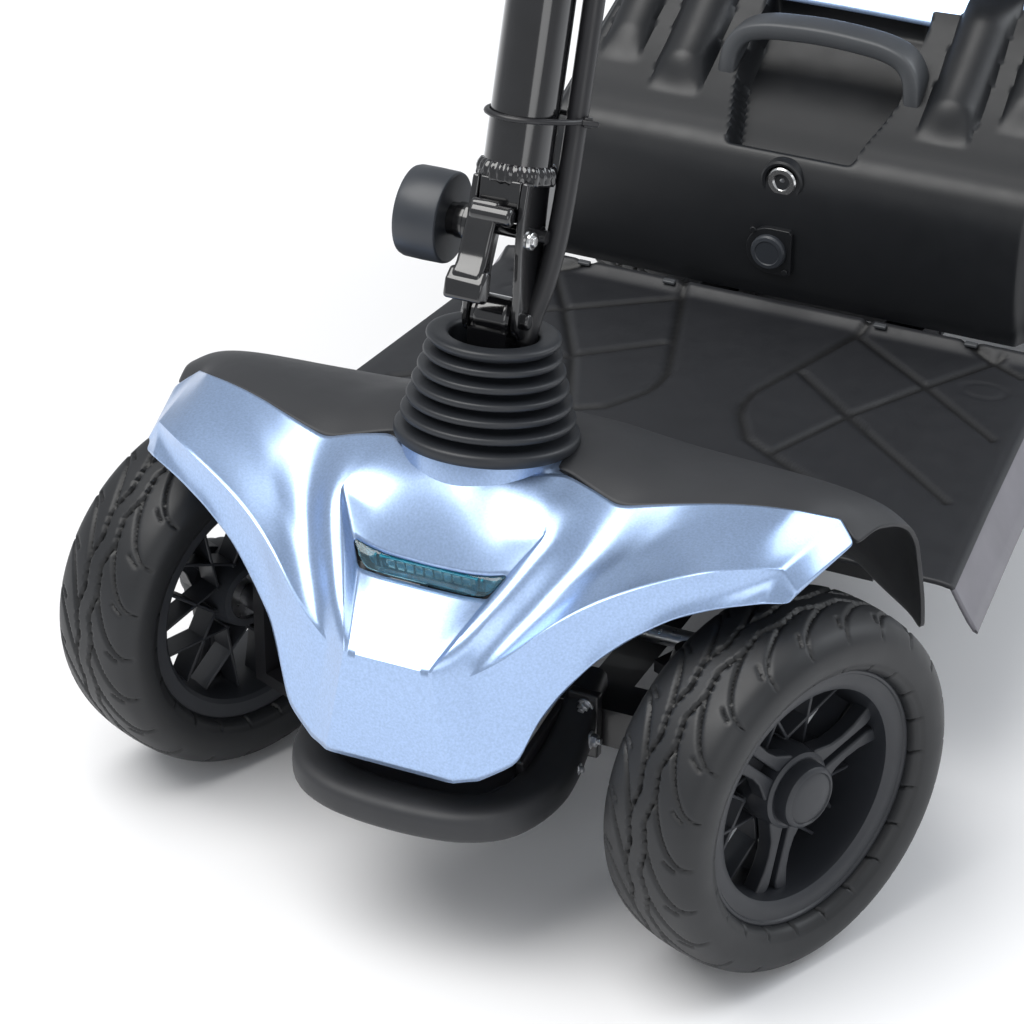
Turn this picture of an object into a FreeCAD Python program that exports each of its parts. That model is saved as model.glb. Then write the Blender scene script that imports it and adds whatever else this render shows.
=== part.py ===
import FreeCAD, Part
import Sketcher
import math
import os

# Compact four-wheel electric scooter.  Millimetres.  +Z is up, the nose faces -Y and x = 0 is the
# plane of symmetry.  z = 0 is the ground and the origin is the centre of the footprint.

Vector = FreeCAD.Vector
Rotation = FreeCAD.Rotation
Placement = FreeCAD.Placement
X_AXIS = Vector(1, 0, 0)
Y_AXIS = Vector(0, 1, 0)
Z_AXIS = Vector(0, 0, 1)

doc = FreeCAD.newDocument("scooter")
sizes = doc.addObject("Spreadsheet::Sheet", "Sizes")

DRIVING = {
    "wheel_radius": 115, "tyre_width": 75, "rim_radius": 82, "hub_width": 56,
    "front_axle_y": -410, "rear_axle_y": 330, "rear_wheel_x": 192,
    "kingpin_x": 127, "wheel_offset": 75, "rest_steer": 22.4, "kingpin_radius": 8, "kingpin_tube": 15,
    "spindle_radius": 8, "bearing_radius": 16, "bearing_width": 10, "running_gap": 0.05,
    "steer_arm": 50, "tie_rod_z": 143, "tie_rod_radius": 6,
    "column_lean": 9.8, "column_y": -416.6, "column_z": 289.4, "stem_radius": 12, "head_tube_radius": 20,
    "tiller_lean": 18.8, "pivot_y": -402.8, "pivot_z": 358, "pivot_pin_radius": 5,
    "tiller_tube_radius": 20, "tube_start": 88, "tube_end": 470, "bar_level": 500, "bar_radius": 11,
    "grip_radius": 16, "grip_start": 92, "bar_half": 192, "conduit_radius": 6.5,
    "knob_radius": 27, "knob_width": 28, "knob_level": 50,
    "deck_top": 150, "deck_half": 200, "deck_lip_half": 228, "deck_lip_z": 120, "deck_front": -240,
    "deck_rear": 35, "deck_wall": 4, "skin": 3,
    "battery_half": 177, "battery_front": 44, "battery_rear": 222, "battery_base": 158,
    "crease_z": 262, "battery_top": 350,
    "seat_y": 340, "seat_base_z": 510, "seat_depth": 360, "seat_width": 400, "cushion_height": 58,
    "backrest_height": 280, "backrest_thick": 50, "backrest_width": 366, "backrest_hinge_z": 624,
    "armrest_z": 700, "armrest_length": 215,
    "anti_tip_y": 488, "anti_tip_radius": 25,
    "bolt_radius": 4,
}
for row, (alias, value) in enumerate(DRIVING.items(), start=1):
    sizes.set("A%d" % row, alias)
    sizes.set("B%d" % row, str(value))
    sizes.setAlias("B%d" % row, alias)
doc.recompute()


def size(alias):
    return float(sizes.get(alias))


def sheet_terms(expression):
    """Write an expression of bare aliases with the sheet's name before each alias."""
    terms = []
    word = ""
    for letter in expression + " ":
        if letter.isalnum() or letter == "_":
            word += letter
            continue
        terms.append("Sizes." + word if word in DRIVING else word)
        terms.append(letter)
        word = ""
    return "".join(terms).strip()


def bind(item, prop, value):
    """Bind a property to the sheet when the value is an expression, or set the number itself."""
    if isinstance(value, str):
        item.setExpression(prop, sheet_terms(value))
    else:
        setattr(item, prop, value)


def number(value):
    return float(sizes.evalExpression(sheet_terms(value))) if isinstance(value, str) else float(value)


def along(axis):
    """The rotation that lays a body made along Z on the given direction."""
    return Rotation(Z_AXIS, Vector(*axis))


def primitive(kind, values, placement):
    item = doc.addObject("Part::" + kind, kind)
    for prop, value in values.items():
        bind(item, prop, value)
    item.Placement = placement
    return item


def block(length, width, height, centre, turn=Rotation()):
    """A box whose middle is at centre, turned about that middle."""
    half = Vector(number(length) / 2, number(width) / 2, number(height) / 2)
    spot = Vector(*centre) - turn.multVec(half)
    return primitive("Box", {"Length": length, "Width": width, "Height": height}, Placement(spot, turn))


def rod(radius, length, start, axis=(0, 0, 1)):
    """A cylinder from start along axis."""
    values = {"Radius": radius, "Height": length}
    return primitive("Cylinder", values, Placement(Vector(*start), along(axis)))


def cone(radius_a, radius_b, length, start, axis=(0, 0, 1)):
    values = {"Radius1": radius_a, "Radius2": radius_b, "Height": length}
    return primitive("Cone", values, Placement(Vector(*start), along(axis)))


def fuse(*items):
    joined = doc.addObject("Part::MultiFuse", "Fuse")
    joined.Shapes = list(items)
    joined.Refine = True
    return joined


def cut(base, *tools):
    for tool in tools:
        result = doc.addObject("Part::Cut", "Cut")
        result.Base = base
        result.Tool = tool
        base = result
    return base


def group(*items):
    """Separate solids that share one node."""
    bundle = doc.addObject("Part::Compound", "Group")
    bundle.Links = list(items)
    return bundle


def plane_of(body, role):
    return next(f for f in body.Origin.OriginFeatures if f.Role == role)


def outline_sketch(body, role, points):
    """A closed outline of straight runs whose corners are bound to the sheet."""
    sketch = body.newObject("Sketcher::SketchObject", "Outline")
    sketch.AttachmentSupport = (plane_of(body, role), [""])
    sketch.MapMode = "FlatFace"
    corners = [Vector(number(x), number(y), 0) for x, y in points]
    for a, b in zip(corners, corners[1:] + corners[:1]):
        sketch.addGeometry(Part.LineSegment(a, b), False)
    count = len(points)
    for i in range(count):
        sketch.addConstraint(Sketcher.Constraint("Coincident", i, 2, (i + 1) % count, 1))
    for i, (x, y) in enumerate(points):
        for kind, value in (("DistanceX", x), ("DistanceY", y)):
            index = sketch.addConstraint(Sketcher.Constraint(kind, -1, 1, i, 1, number(value)))
            if isinstance(value, str):
                sketch.setExpression("Constraints[%d]" % index, sheet_terms(value))
    return sketch


def padded(points, role, length, placement=Placement()):
    """An outline on one of the body's origin planes, padded evenly to both sides."""
    body = doc.addObject("PartDesign::Body", "Body")
    sketch = outline_sketch(body, role, points)
    pad = body.newObject("PartDesign::Pad", "Pad")
    pad.Profile = sketch
    bind(pad, "Length", length)
    pad.Midplane = True
    body.Placement = placement
    return body


def revolved(points, placement=Placement()):
    """(along, radius) points turned about the body's own X axis."""
    body = doc.addObject("PartDesign::Body", "Body")
    sketch = outline_sketch(body, "XY_Plane", points)
    turned = body.newObject("PartDesign::Revolution", "Revolution")
    turned.Profile = sketch
    turned.ReferenceAxis = (sketch, ["H_Axis"])
    turned.Angle = 360
    body.Placement = placement
    return body


def skin_solid(rows, thickness, inward):
    """A closed shell of even thickness: rows of points, mirrored in x = 0, with a second skin inside."""
    full = [[Vector(-p.x, p.y, p.z) for p in reversed(row[1:])] + list(row) for row in rows]
    inner = [[p + inward(p) * thickness for p in row] for row in full]
    height = len(full)
    width = len(full[0])
    faces = []

    def triangle(a, b, c):
        if (b - a).cross(c - a).Length > 1e-6:
            faces.append(Part.Face(Part.makePolygon([a, b, c, a])))

    def quad(a, b, c, d):
        triangle(a, b, c)
        triangle(a, c, d)

    for i in range(height - 1):
        for j in range(width - 1):
            quad(full[i][j], full[i][j + 1], full[i + 1][j + 1], full[i + 1][j])
            quad(inner[i][j], inner[i + 1][j], inner[i + 1][j + 1], inner[i][j + 1])
    for j in range(width - 1):
        quad(full[0][j], inner[0][j], inner[0][j + 1], full[0][j + 1])
        quad(full[-1][j], full[-1][j + 1], inner[-1][j + 1], inner[-1][j])
    for i in range(height - 1):
        quad(full[i][0], full[i + 1][0], inner[i + 1][0], inner[i][0])
        quad(full[i][-1], inner[i][-1], inner[i + 1][-1], full[i + 1][-1])
    shell = Part.makeShell(faces)
    shell.sewShape()
    solid = Part.makeSolid(shell)
    return solid if solid.Volume > 0 else solid.reversed()


def feature(name, shape):
    item = doc.addObject("Part::Feature", name)
    item.Shape = shape
    item.Placement = Placement()
    return item


NODES = {}


def node(label, item):
    """Name a finished sub-part: its label is its file name."""
    item.Label = label
    NODES[label] = item


# ---------------------------------------------------------------------------------- frames of reference
front_y = size("front_axle_y")
rear_y = size("rear_axle_y")
axle_z = size("wheel_radius")
steer = size("rest_steer")
lean_angle = math.radians(size("column_lean"))
column_dir = Vector(0, math.sin(lean_angle), math.cos(lean_angle))
column_turn = Rotation(X_AXIS, -size("column_lean"))
tiller_turn = Rotation(X_AXIS, -size("tiller_lean"))
pivot = Vector(0, size("pivot_y"), size("pivot_z"))
tiller_dir = tiller_turn.multVec(Z_AXIS)
steer_turn = Rotation(Z_AXIS, -steer)


def on_column(level, x=0, back=0):
    """A point at a height on the steering column's axis, moved by x and straight back from the axis."""
    run = (level - size("column_z")) / column_dir.z
    base = Vector(0, size("column_y"), size("column_z")) + column_dir * run
    return base + column_turn.multVec(Vector(x, back, 0))


def on_tiller(level, x=0, back=0):
    """A point on the tiller: level along it from the fold pivot, x across and back behind its axis."""
    return pivot + tiller_turn.multVec(Vector(x, back, level))


# ---------------------------------------------------------------------------------- wheels
def wheel(label, centre, side, turn, has_bearings):
    """Tyre, hub, cap and bearings on a spindle along the wheel's own X; side is +1 for the right."""
    place = Placement(centre, turn.multiply(Rotation(Z_AXIS, 0 if side > 0 else 180)))
    node("tyre_" + label, revolved([
        ("-tyre_width/2 + 8", "rim_radius"), ("-tyre_width/2", "rim_radius + 10"),
        ("-tyre_width/2 + 1.5", "wheel_radius - 12"), ("-tyre_width/2 + 12", "wheel_radius - 2.5"),
        ("-tyre_width/5", "wheel_radius"), ("tyre_width/5", "wheel_radius"),
        ("tyre_width/2 - 12", "wheel_radius - 2.5"), ("tyre_width/2 - 1.5", "wheel_radius - 12"),
        ("tyre_width/2", "rim_radius + 10"), ("tyre_width/2 - 8", "rim_radius")], place))
    rim = revolved([
        ("-hub_width/2", "rim_radius"), ("-hub_width/2", "rim_radius - 6"), (-8, "rim_radius - 14"),
        (8, "rim_radius - 14"), ("hub_width/2", "rim_radius - 6"), ("hub_width/2", "rim_radius")])
    boss = rod("bearing_radius + 6", "hub_width - 12", (-size("hub_width") / 2 + 6, 0, 0), (1, 0, 0))
    parts = [rim, boss]
    for k in range(3):
        arm = Rotation(X_AXIS, 120 * k)
        reach = (size("rim_radius") - 12 + size("bearing_radius")) / 2
        length = "rim_radius - 10 - bearing_radius"
        parts.append(block(14, 20, length, tuple(arm.multVec(Vector(6, 0, reach))), arm))
    hub = cut(fuse(*parts), rod("bearing_radius", 120, (-60, 0, 0), (1, 0, 0)))
    cap = cone(16, 13, 7, (size("hub_width") / 2 - 5.9, 0, 0), (1, 0, 0))
    if has_bearings:
        hub.Placement = place
        cap.Placement = place.multiply(cap.Placement)
        node("hub_" + label, hub)
        node("hub_cap_" + label, cap)
    else:
        sleeve = cut(rod("bearing_radius + 2", 44, (-22, 0, 0), (1, 0, 0)),
                     rod("spindle_radius + running_gap", 60, (-30, 0, 0), (1, 0, 0)))
        solid_hub = group(fuse(hub, sleeve), cap)
        solid_hub.Placement = place
        node("hub_" + label, solid_hub)
    if not has_bearings:
        return
    rings = []
    for edge in (-20, 10):
        outer = rod("bearing_radius", "bearing_width", (edge, 0, 0), (1, 0, 0))
        ring = cut(outer, rod("spindle_radius + running_gap", 30, (edge - 10, 0, 0), (1, 0, 0)))
        ring.Placement = place
        rings.append(ring)
    node("bearings_" + label, group(*rings))


SIDES = (("left", -1), ("right", 1))
for name, side in SIDES:
    kingpin = Vector(side * size("kingpin_x"), front_y, axle_z)
    centre = kingpin + steer_turn.multVec(Vector(side * size("wheel_offset"), 0, 0))
    wheel("front_" + name, centre, side, steer_turn, True)
    centre = Vector(side * size("rear_wheel_x"), rear_y, axle_z)
    wheel("rear_" + name, centre, side, Rotation(), False)

# ---------------------------------------------------------------------------------- front steering
TUBE_LOW = 78
TUBE_HIGH = 152
YOKE = 8
GAP = 1
ARM_PIN = 5


def knuckle(name, side):
    """Kingpin, yoke, wheel spindle and steering arm in one forging, about its kingpin."""
    top = TUBE_HIGH + GAP
    low = TUBE_LOW - GAP - YOKE
    height = top + YOKE - low
    spindle = size("wheel_offset") + size("hub_width") / 2 - 6 - 34
    parts = [
        rod("kingpin_radius", height, (0, 0, low)),
        cone(11, 8, 9, (0, 0, top + YOKE)),
        block(48, 28, YOKE, (side * 10, 0, top + YOKE / 2)),
        block(48, 28, YOKE, (side * 10, 0, low + YOKE / 2)),
        block(10, 28, height, (side * 29, 0, (low + top + YOKE) / 2)),
        rod("spindle_radius", spindle, (side * 34, 0, axle_z), (side, 0, 0)),
        block(16, "steer_arm + 8", YOKE, (0, size("steer_arm") / 2 + 4, top + YOKE / 2)),
        rod(ARM_PIN, 30, (0, size("steer_arm"), size("tie_rod_z") - 9)),
    ]
    forging = fuse(*parts)
    forging.Placement = Placement(Vector(side * size("kingpin_x"), front_y, 0), steer_turn)
    node("steering_knuckle_" + name, forging)


for name, side in SIDES:
    knuckle(name, side)

ball_ends = []
for name, side in SIDES:
    ball_ends.append(Vector(side * size("kingpin_x"), front_y, size("tie_rod_z"))
                     + steer_turn.multVec(Vector(0, size("steer_arm"), 0)))
pitman_level = size("tie_rod_z") + 18
pitman_root = on_column(pitman_level)
pitman_pin = pitman_root + steer_turn.multVec(Vector(0, size("steer_arm"), 0))
rod_y = ball_ends[0].y
tongue_length = rod_y - pitman_pin.y + 14
rod_low = size("tie_rod_z") - 6
tie_parts = [rod("tie_rod_radius", ball_ends[1].x - ball_ends[0].x, tuple(ball_ends[0]), (1, 0, 0))]
tie_parts.append(block(24, tongue_length, 8, (pitman_pin.x, rod_y - tongue_length / 2, size("tie_rod_z"))))
for end in ball_ends:
    tie_parts.append(rod(11, 14, (end.x, end.y, rod_low - 1)))
tie_holes = [rod(8, 40, (pitman_pin.x, pitman_pin.y, rod_low - 10))]
for end, gap in zip(ball_ends, (0.05, 0.4)):
    tie_holes.append(rod(ARM_PIN + gap, 40, (end.x, end.y, rod_low - 10)))
node("tie_rod", cut(fuse(*tie_parts), *tie_holes))

# Stem: shaft in the head tube, pitman arm below it, solid fold knuckle above it.
stem_low = on_column(pitman_level)
stem_top = on_column(size("pivot_z") - 22)
pitman = block(18, "steer_arm + 16", 7, (0, size("steer_arm") / 2, 0))
pitman.Placement = Placement(pitman_root, steer_turn).multiply(pitman.Placement)
stem_parts = [
    rod("stem_radius", stem_low.distanceToPoint(stem_top), tuple(stem_low), tuple(column_dir)),
    rod("stem_radius + 5", 5, tuple(on_column(232)), tuple(column_dir)),
    pitman,
    rod(5, 34, (pitman_pin.x, pitman_pin.y, size("tie_rod_z") - 10)),
    block(24, 22, 34, tuple(on_column(size("pivot_z") - 22)), column_turn),
    rod(11, 24, (-12, pivot.y, pivot.z), (1, 0, 0)),
]
node("steering_stem", cut(fuse(*stem_parts), rod("pivot_pin_radius + running_gap", 60,
                                                 (-30, pivot.y, pivot.z), (1, 0, 0))))

# ---------------------------------------------------------------------------------- folding tiller
PLATE = 5
PLATE_IN = 13


def bracket_plate(side):
    outline = [("-11", 0), ("-11", 34), (-21, 62), (-21, 84), (21, 84), (21, 62), (11, 30), (11, 0)]
    across = side * (PLATE_IN + PLATE / 2)
    plate = padded(outline, "YZ_Plane", PLATE)
    plate.Placement = Placement(on_tiller(0, across), tiller_turn)
    eye = rod(11, PLATE, (side * PLATE_IN, pivot.y, pivot.z), (side, 0, 0))
    return [plate, eye]


def tiller_rod(radius, length, level, x=0, back=0):
    return rod(radius, length, tuple(on_tiller(level, x, back)), tuple(tiller_dir))


def tiller_block(length, width, height, level, x=0, back=0):
    return block(length, width, height, tuple(on_tiller(level, x, back)), tiller_turn)


web = tiller_block(2 * (PLATE_IN + PLATE), 6, 30, 69, 0, 14)
cap_plate = tiller_rod(23, 5, 80)
bracket = fuse(*bracket_plate(-1), *bracket_plate(1), web, cap_plate)
bracket_bores = [rod("pivot_pin_radius", 80, (-40, pivot.y, pivot.z), (1, 0, 0)),
                 rod("bolt_radius", 80, tuple(on_tiller(size("knob_level"), -40, 2)), (1, 0, 0))]
pin_half = PLATE_IN + PLATE + 3
pin = rod("pivot_pin_radius", 2 * pin_half, (-pin_half, pivot.y, pivot.z), (1, 0, 0))
node("fold_bracket", group(cut(bracket, *bracket_bores), pin))
tube = tiller_rod("tiller_tube_radius", "tube_end - tube_start", size("tube_start"))
node("tiller_tube", cut(tube, tiller_rod("tiller_tube_radius - 2.5", "tube_end", size("tube_start") - 1)))
conduit = tiller_rod("conduit_radius", 424, 34, 26.7, 13.5)
tie = cut(tiller_rod("conduit_radius + 2", 5, 118, 26.7, 13.5),
          tiller_rod("conduit_radius", 20, 110, 26.7, 13.5))
node("wiring_conduit", group(conduit, cut(tie, tiller_rod("tiller_tube_radius", 40, 100))))

pod = tiller_block(108, 74, 62, size("bar_level") + 5, 0, 0)
bar_hole = rod("bar_radius", 300, tuple(on_tiller(size("bar_level"), -150)), (1, 0, 0))
node("console_pod", cut(pod, bar_hole))
node("console_display", tiller_block(60, 34, 2, size("bar_level") + 37, 0, 8))
half = size("bar_half")
node("handlebar", rod("bar_radius", 2 * half - 4, tuple(on_tiller(size("bar_level"), 2 - half)), (1, 0, 0)))
grips = []
for name, side in SIDES:
    start = on_tiller(size("bar_level"), side * size("grip_start"))
    grip = rod("grip_radius", half - size("grip_start"), tuple(start), (side, 0, 0))
    hole = rod("bar_radius", half - size("grip_start") - 2, tuple(start), (side, 0, 0))
    grips.append(cut(grip, hole))
node("handle_grips", group(*grips))
throttle = [tiller_rod(28, 9, 456)]
for name, side in SIDES:
    throttle.append(tiller_block(90, 14, 6, 460.5, side * 68, 6))
node("throttle_lever", cut(fuse(*throttle), tiller_rod("tiller_tube_radius + 0.4", 40, 440),
                           tiller_rod("conduit_radius + 5", 40, 440, 26.7, 13.5)))
pod_top = size("bar_level") + 36
node("speed_dial", tiller_rod(11, 9, pod_top + 0.2, 0, -22))
node("horn_button", tiller_rod(7, 6, pod_top + 3, -38, -22))
node("key_switch", fuse(tiller_rod(6, 4, pod_top + 0.2, 38, -22),
                        tiller_block(3, 11, 16, pod_top + 11, 38, -22)))

# Latch lever before the bracket, clamp knob on its left.
latch_pin = on_tiller(62, 0, -27.5)
latch_parts = [
    tiller_block(22, 7, 44, 42, -4, -30.5),
    tiller_block(14, 8, 12, 22, -4, -36),
    rod(6, 25.8, (-12.9, latch_pin.y, latch_pin.z), (1, 0, 0)),
]
node("latch_lever", fuse(*latch_parts))
knob_axis = on_tiller(size("knob_level"), 0, 2)
knob_parts = [
    rod("knob_radius", "knob_width", (-36, knob_axis.y, knob_axis.z), (-1, 0, 0)),
    rod(11, 8, (-28, knob_axis.y, knob_axis.z), (-1, 0, 0)),
    rod(14, 9, (-19, knob_axis.y, knob_axis.z), (-1, 0, 0)),
    rod("bolt_radius - running_gap", 46, (24, knob_axis.y, knob_axis.z), (-1, 0, 0)),
]
node("clamp_knob", fuse(*knob_parts))

# ---------------------------------------------------------------------------------- chassis
RAIL_X = 70
RAIL = 28
frame_parts = []
frame_parts.append(block(2 * size("kingpin_x") - 20, 30, 26, (0, front_y, 110)))
for name, side in SIDES:
    tube_foot = (side * size("kingpin_x"), front_y, TUBE_LOW)
    frame_parts.append(rod("kingpin_tube", TUBE_HIGH - TUBE_LOW, tube_foot))
    frame_parts.append(block(RAIL, 560, RAIL, (side * RAIL_X, front_y + 280, 104)))
for level_y in (-200, -80, 30):
    frame_parts.append(block("2 * deck_half - 60", 24, 27, (0, level_y, 130)))
frame_parts.append(block(60, 60, 40, tuple(on_column(132)), column_turn))
frame_parts.append(rod("head_tube_radius", 52, tuple(on_column(172)), tuple(column_dir)))
frame_parts.append(block(36, 12, 96, tuple(on_column(166, 0, -22)), column_turn))
kingpin_bores = [rod("kingpin_radius + running_gap", 120, (side * size("kingpin_x"), front_y, 60))
                 for _, side in SIDES]
pitman_room = block(120, 89, 16, (10, front_y + 4, pitman_level - 1))
node("chassis_frame", cut(fuse(*frame_parts), *kingpin_bores, pitman_room,
                          rod("stem_radius + running_gap", 200, tuple(on_column(140)), tuple(column_dir)),
                          block(200, 60, 30, (10, rod_y - 12, size("tie_rod_z") - 1))))

rear_parts = [block(2 * RAIL_X + RAIL, 44, 34, (0, 178, 110)), block(34, 306, 26, (0, 342, 176))]
for side in (-1, 1):
    rear_parts.append(block(RAIL, 206, 24, (side * RAIL_X, 283, 176)))
rear_parts.append(block(2 * RAIL_X + RAIL, 24, 60, (0, 190, 155)))
rear_parts.append(block(2 * RAIL_X + RAIL, 24, 24, (0, 398, 176)))
rear_parts.append(block(30, 40, 19, (50, rear_y, 155.5)))
rear_parts.append(block(34, 30, 116, (0, 480, 128)))

# Bumper: a tube bent in a U under the nose.
BUMPER_Z = 104
BUMPER_R = 12
bend = 38.0
front_line = -545.0
half_width = 66.0
tail = front_y + 10
path_points = [
    Part.LineSegment(Vector(-half_width, tail, BUMPER_Z), Vector(-half_width, front_line + bend, BUMPER_Z)),
    Part.Arc(Vector(-half_width, front_line + bend, BUMPER_Z),
             Vector(bend - half_width - bend * math.cos(math.pi / 4),
                    front_line + bend - bend * math.sin(math.pi / 4), BUMPER_Z),
             Vector(bend - half_width, front_line, BUMPER_Z)),
    Part.LineSegment(Vector(bend - half_width, front_line, BUMPER_Z),
                     Vector(half_width - bend, front_line, BUMPER_Z)),
    Part.Arc(Vector(half_width - bend, front_line, BUMPER_Z),
             Vector(half_width - bend + bend * math.cos(math.pi / 4),
                    front_line + bend - bend * math.sin(math.pi / 4), BUMPER_Z),
             Vector(half_width, front_line + bend, BUMPER_Z)),
    Part.LineSegment(Vector(half_width, front_line + bend, BUMPER_Z), Vector(half_width, tail, BUMPER_Z)),
]
bumper_wire = Part.Wire([piece.toShape() for piece in path_points])
bumper_profile = Part.Wire([Part.Circle(Vector(-half_width, tail, BUMPER_Z), Y_AXIS, BUMPER_R).toShape()])
bumper_tube = feature("BumperTube", bumper_wire.makePipeShell([bumper_profile], True, False))
clear_frame = block(300, 60, 60, (0, front_y + 14, 110))
bracket_parts = [block(20, 6, 50, (side * RAIL_X, front_y - 20, 112)) for side in (-1, 1)]
node("front_bumper", fuse(cut(bumper_tube, clear_frame), *bracket_parts))


# ---------------------------------------------------------------------------------- front bodywork
def points(*triples):
    return [Vector(*t) for t in triples]


def towards(target):
    """A unit step from a point towards a line across the scooter, given by its (y, z)."""
    def step(p):
        aim = Vector(p.x * 0.82, target[0], target[1])
        way = aim - p
        way.normalize()
        return way
    return step


nose_rows = [
    points((0, -428, 287), (54, -430, 284), (93, -440, 274), (121, -434, 279), (143, -424, 280),
           (166, -417, 281), (190, -408, 279), (209, -385, 265), (222, -392, 256)),
    points((0, -500, 268), (40, -496, 266), (66, -490, 254), (97, -476, 262), (122, -466, 264),
           (148, -455, 267), (176, -444, 272), (203, -425, 265), (219, -405, 252)),
    points((0, -549, 206), (27, -549, 206), (48, -535, 205), (82, -520, 233), (103, -508, 246),
           (145, -489, 264), (174, -478, 272), (200, -452, 265), (214, -420, 249)),
    points((0, -549, 135), (41, -549, 135), (64, -535, 138), (83, -524, 176), (109, -508, 211),
           (142, -493, 238), (178, -476, 247), (206, -457, 247), (213, -424, 246)),
]
fairing_skin = feature("FairingSkin", skin_solid(nose_rows, size("skin"), towards((-400, 190))))
column_opening = [tuple(on_column(240)), tuple(column_dir)]

cowl_rows = [
    points((0, -425, 285), (52, -427, 281), (92, -437, 271), (121, -431, 276), (143, -421, 277),
           (166, -414, 278), (189, -405, 276), (207, -382, 263), (220, -388, 254)),
    points((0, -385, 282), (52, -385, 281), (95, -385, 277), (122, -380, 274), (145, -375, 272),
           (168, -368, 270), (190, -360, 267), (212, -350, 258), (228, -352, 246)),
    points((0, -345, 268), (52, -343, 268), (103, -340, 265), (128, -337, 261), (150, -335, 258),
           (172, -333, 255), (192, -330, 251), (212, -318, 243), (236, -320, 234)),
    points((0, -325, 215), (52, -322, 215), (103, -300, 215), (128, -275, 213), (150, -263, 210),
           (172, -258, 208), (192, -256, 206), (214, -256, 200), (242, -262, 190)),
    points((0, -316, 156), (52, -313, 156), (103, -285, 156), (128, -262, 156), (150, -250, 156),
           (172, -246, 156), (192, -245, 156), (216, -244, 156), (242, -246, 156)),
]
cowl_skin = feature("CowlSkin", skin_solid(cowl_rows, size("skin"), towards((-420, 120))))
node("front_cowl", cut(cowl_skin, rod(52.5, 100, *column_opening)))

boot_place = Placement(Vector(0, size("column_y"), size("column_z")), Rotation(X_AXIS, Vector(*column_dir)))
ribs = []
RIBS = 6
BOOT_HEIGHT = 57.0
for k in range(RIBS):
    lift = BOOT_HEIGHT * k / RIBS
    radius = 54 - 13.5 * k / RIBS
    ribs.append((lift, radius))
    ribs.append((lift + BOOT_HEIGHT / RIBS * 0.62, radius - 5.5))
outline = [(0, 47)] + ribs + [(BOOT_HEIGHT, 40), (BOOT_HEIGHT + 3, 38), (BOOT_HEIGHT + 3, 27.5),
                              (BOOT_HEIGHT - 3, 27.5), (BOOT_HEIGHT - 3, 31)]
node("steering_boot", revolved(outline, boot_place))
collar_profile = [(-9, 40), (-9, 52), (-0.6, 47), (-0.6, 40)]
node("front_fairing", fuse(cut(fairing_skin, rod(46, 100, *column_opening)),
                           revolved(collar_profile, boot_place)))

lens_turn = Rotation(X_AXIS, 24)
lamp = Vector(0, -503, 240)
node("light_housing", block(96, 22, 22, tuple(lamp + lens_turn.multVec(Vector(0, 22, -4))), lens_turn))
node("light_board", block(72, 3, 9, tuple(lamp + lens_turn.multVec(Vector(0, 9, -4))), lens_turn))
node("light_lens", block(86, 3, 15, tuple(lamp + lens_turn.multVec(Vector(0, 5, -4))), lens_turn))

# ---------------------------------------------------------------------------------- deck
deck_outline = [
    ("-deck_lip_half", "deck_lip_z"), ("-deck_half", "deck_top"), ("deck_half", "deck_top"),
    ("deck_lip_half", "deck_lip_z"), ("deck_lip_half - 4", "deck_lip_z"),
    ("deck_half - 2", "deck_top - deck_wall"), ("deck_wall - deck_half + -2", "deck_top - deck_wall"),
    ("4 - deck_lip_half", "deck_lip_z")]
deck_mid = (size("deck_front") + size("deck_rear")) / 2
deck_pan = padded(deck_outline, "XZ_Plane", "deck_rear - deck_front",
                  Placement(Vector(0, deck_mid, 0), Rotation()))
node("deck", fuse(deck_pan, block(140, 56, 4, (0, -266, 148))))

# ---------------------------------------------------------------------------------- battery pack
battery_outline = [
    ("battery_front", "battery_base"), ("battery_front - 6", 200), ("battery_front + 6", 248),
    ("battery_front + 14", "crease_z"), (100, "crease_z + 26"), (160, "battery_top - 26"),
    ("battery_rear", "battery_top"), ("battery_rear", 200), (176, 200), (176, "battery_base")]
case = padded(battery_outline, "YZ_Plane", "2 * battery_half")
recess = padded([(-50, 257), (50, 257), (50, 275), (76, 275),
                 (80, 365), (-80, 365), (-76, 275), (-50, 275)],
                "XZ_Plane", 90, Placement(Vector(0, 115, 0), Rotation()))
pocket = block(110, 94, 46, (0, 165, 227))
bezel = block(34, 8, 34, (-4, 37.4, 196))
battery_case = cut(fuse(case, bezel), recess, pocket, rod(11, 18, (0, 34, 245), (0, 1, 0)),
                   rod(8.4, 18, (-4, 30, 196), (0, 1, 0)))
node("battery_case", battery_case)
node("battery_cells", group(block(104, 88, 22.9, (0, 165, 215.45)), block(104, 88, 22.9, (0, 165, 238.45))))
handle_parts = [
    block(14, 24, 52, (-59.5, 127, 301)), block(14, 24, 52, (59.5, 127, 301)),
    block(133, 24, 14, (0, 127, 331))]
node("carry_handle", fuse(*handle_parts))
socket = cut(rod(10.8, 14, (0, 43.9, 245), (0, -1, 0)), rod(6, 10, (0, 36, 245), (0, -1, 0)))
node("charge_socket", socket)
node("breaker_button", rod(8, 8, (-4, 40, 196), (0, -1, 0)))

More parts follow.
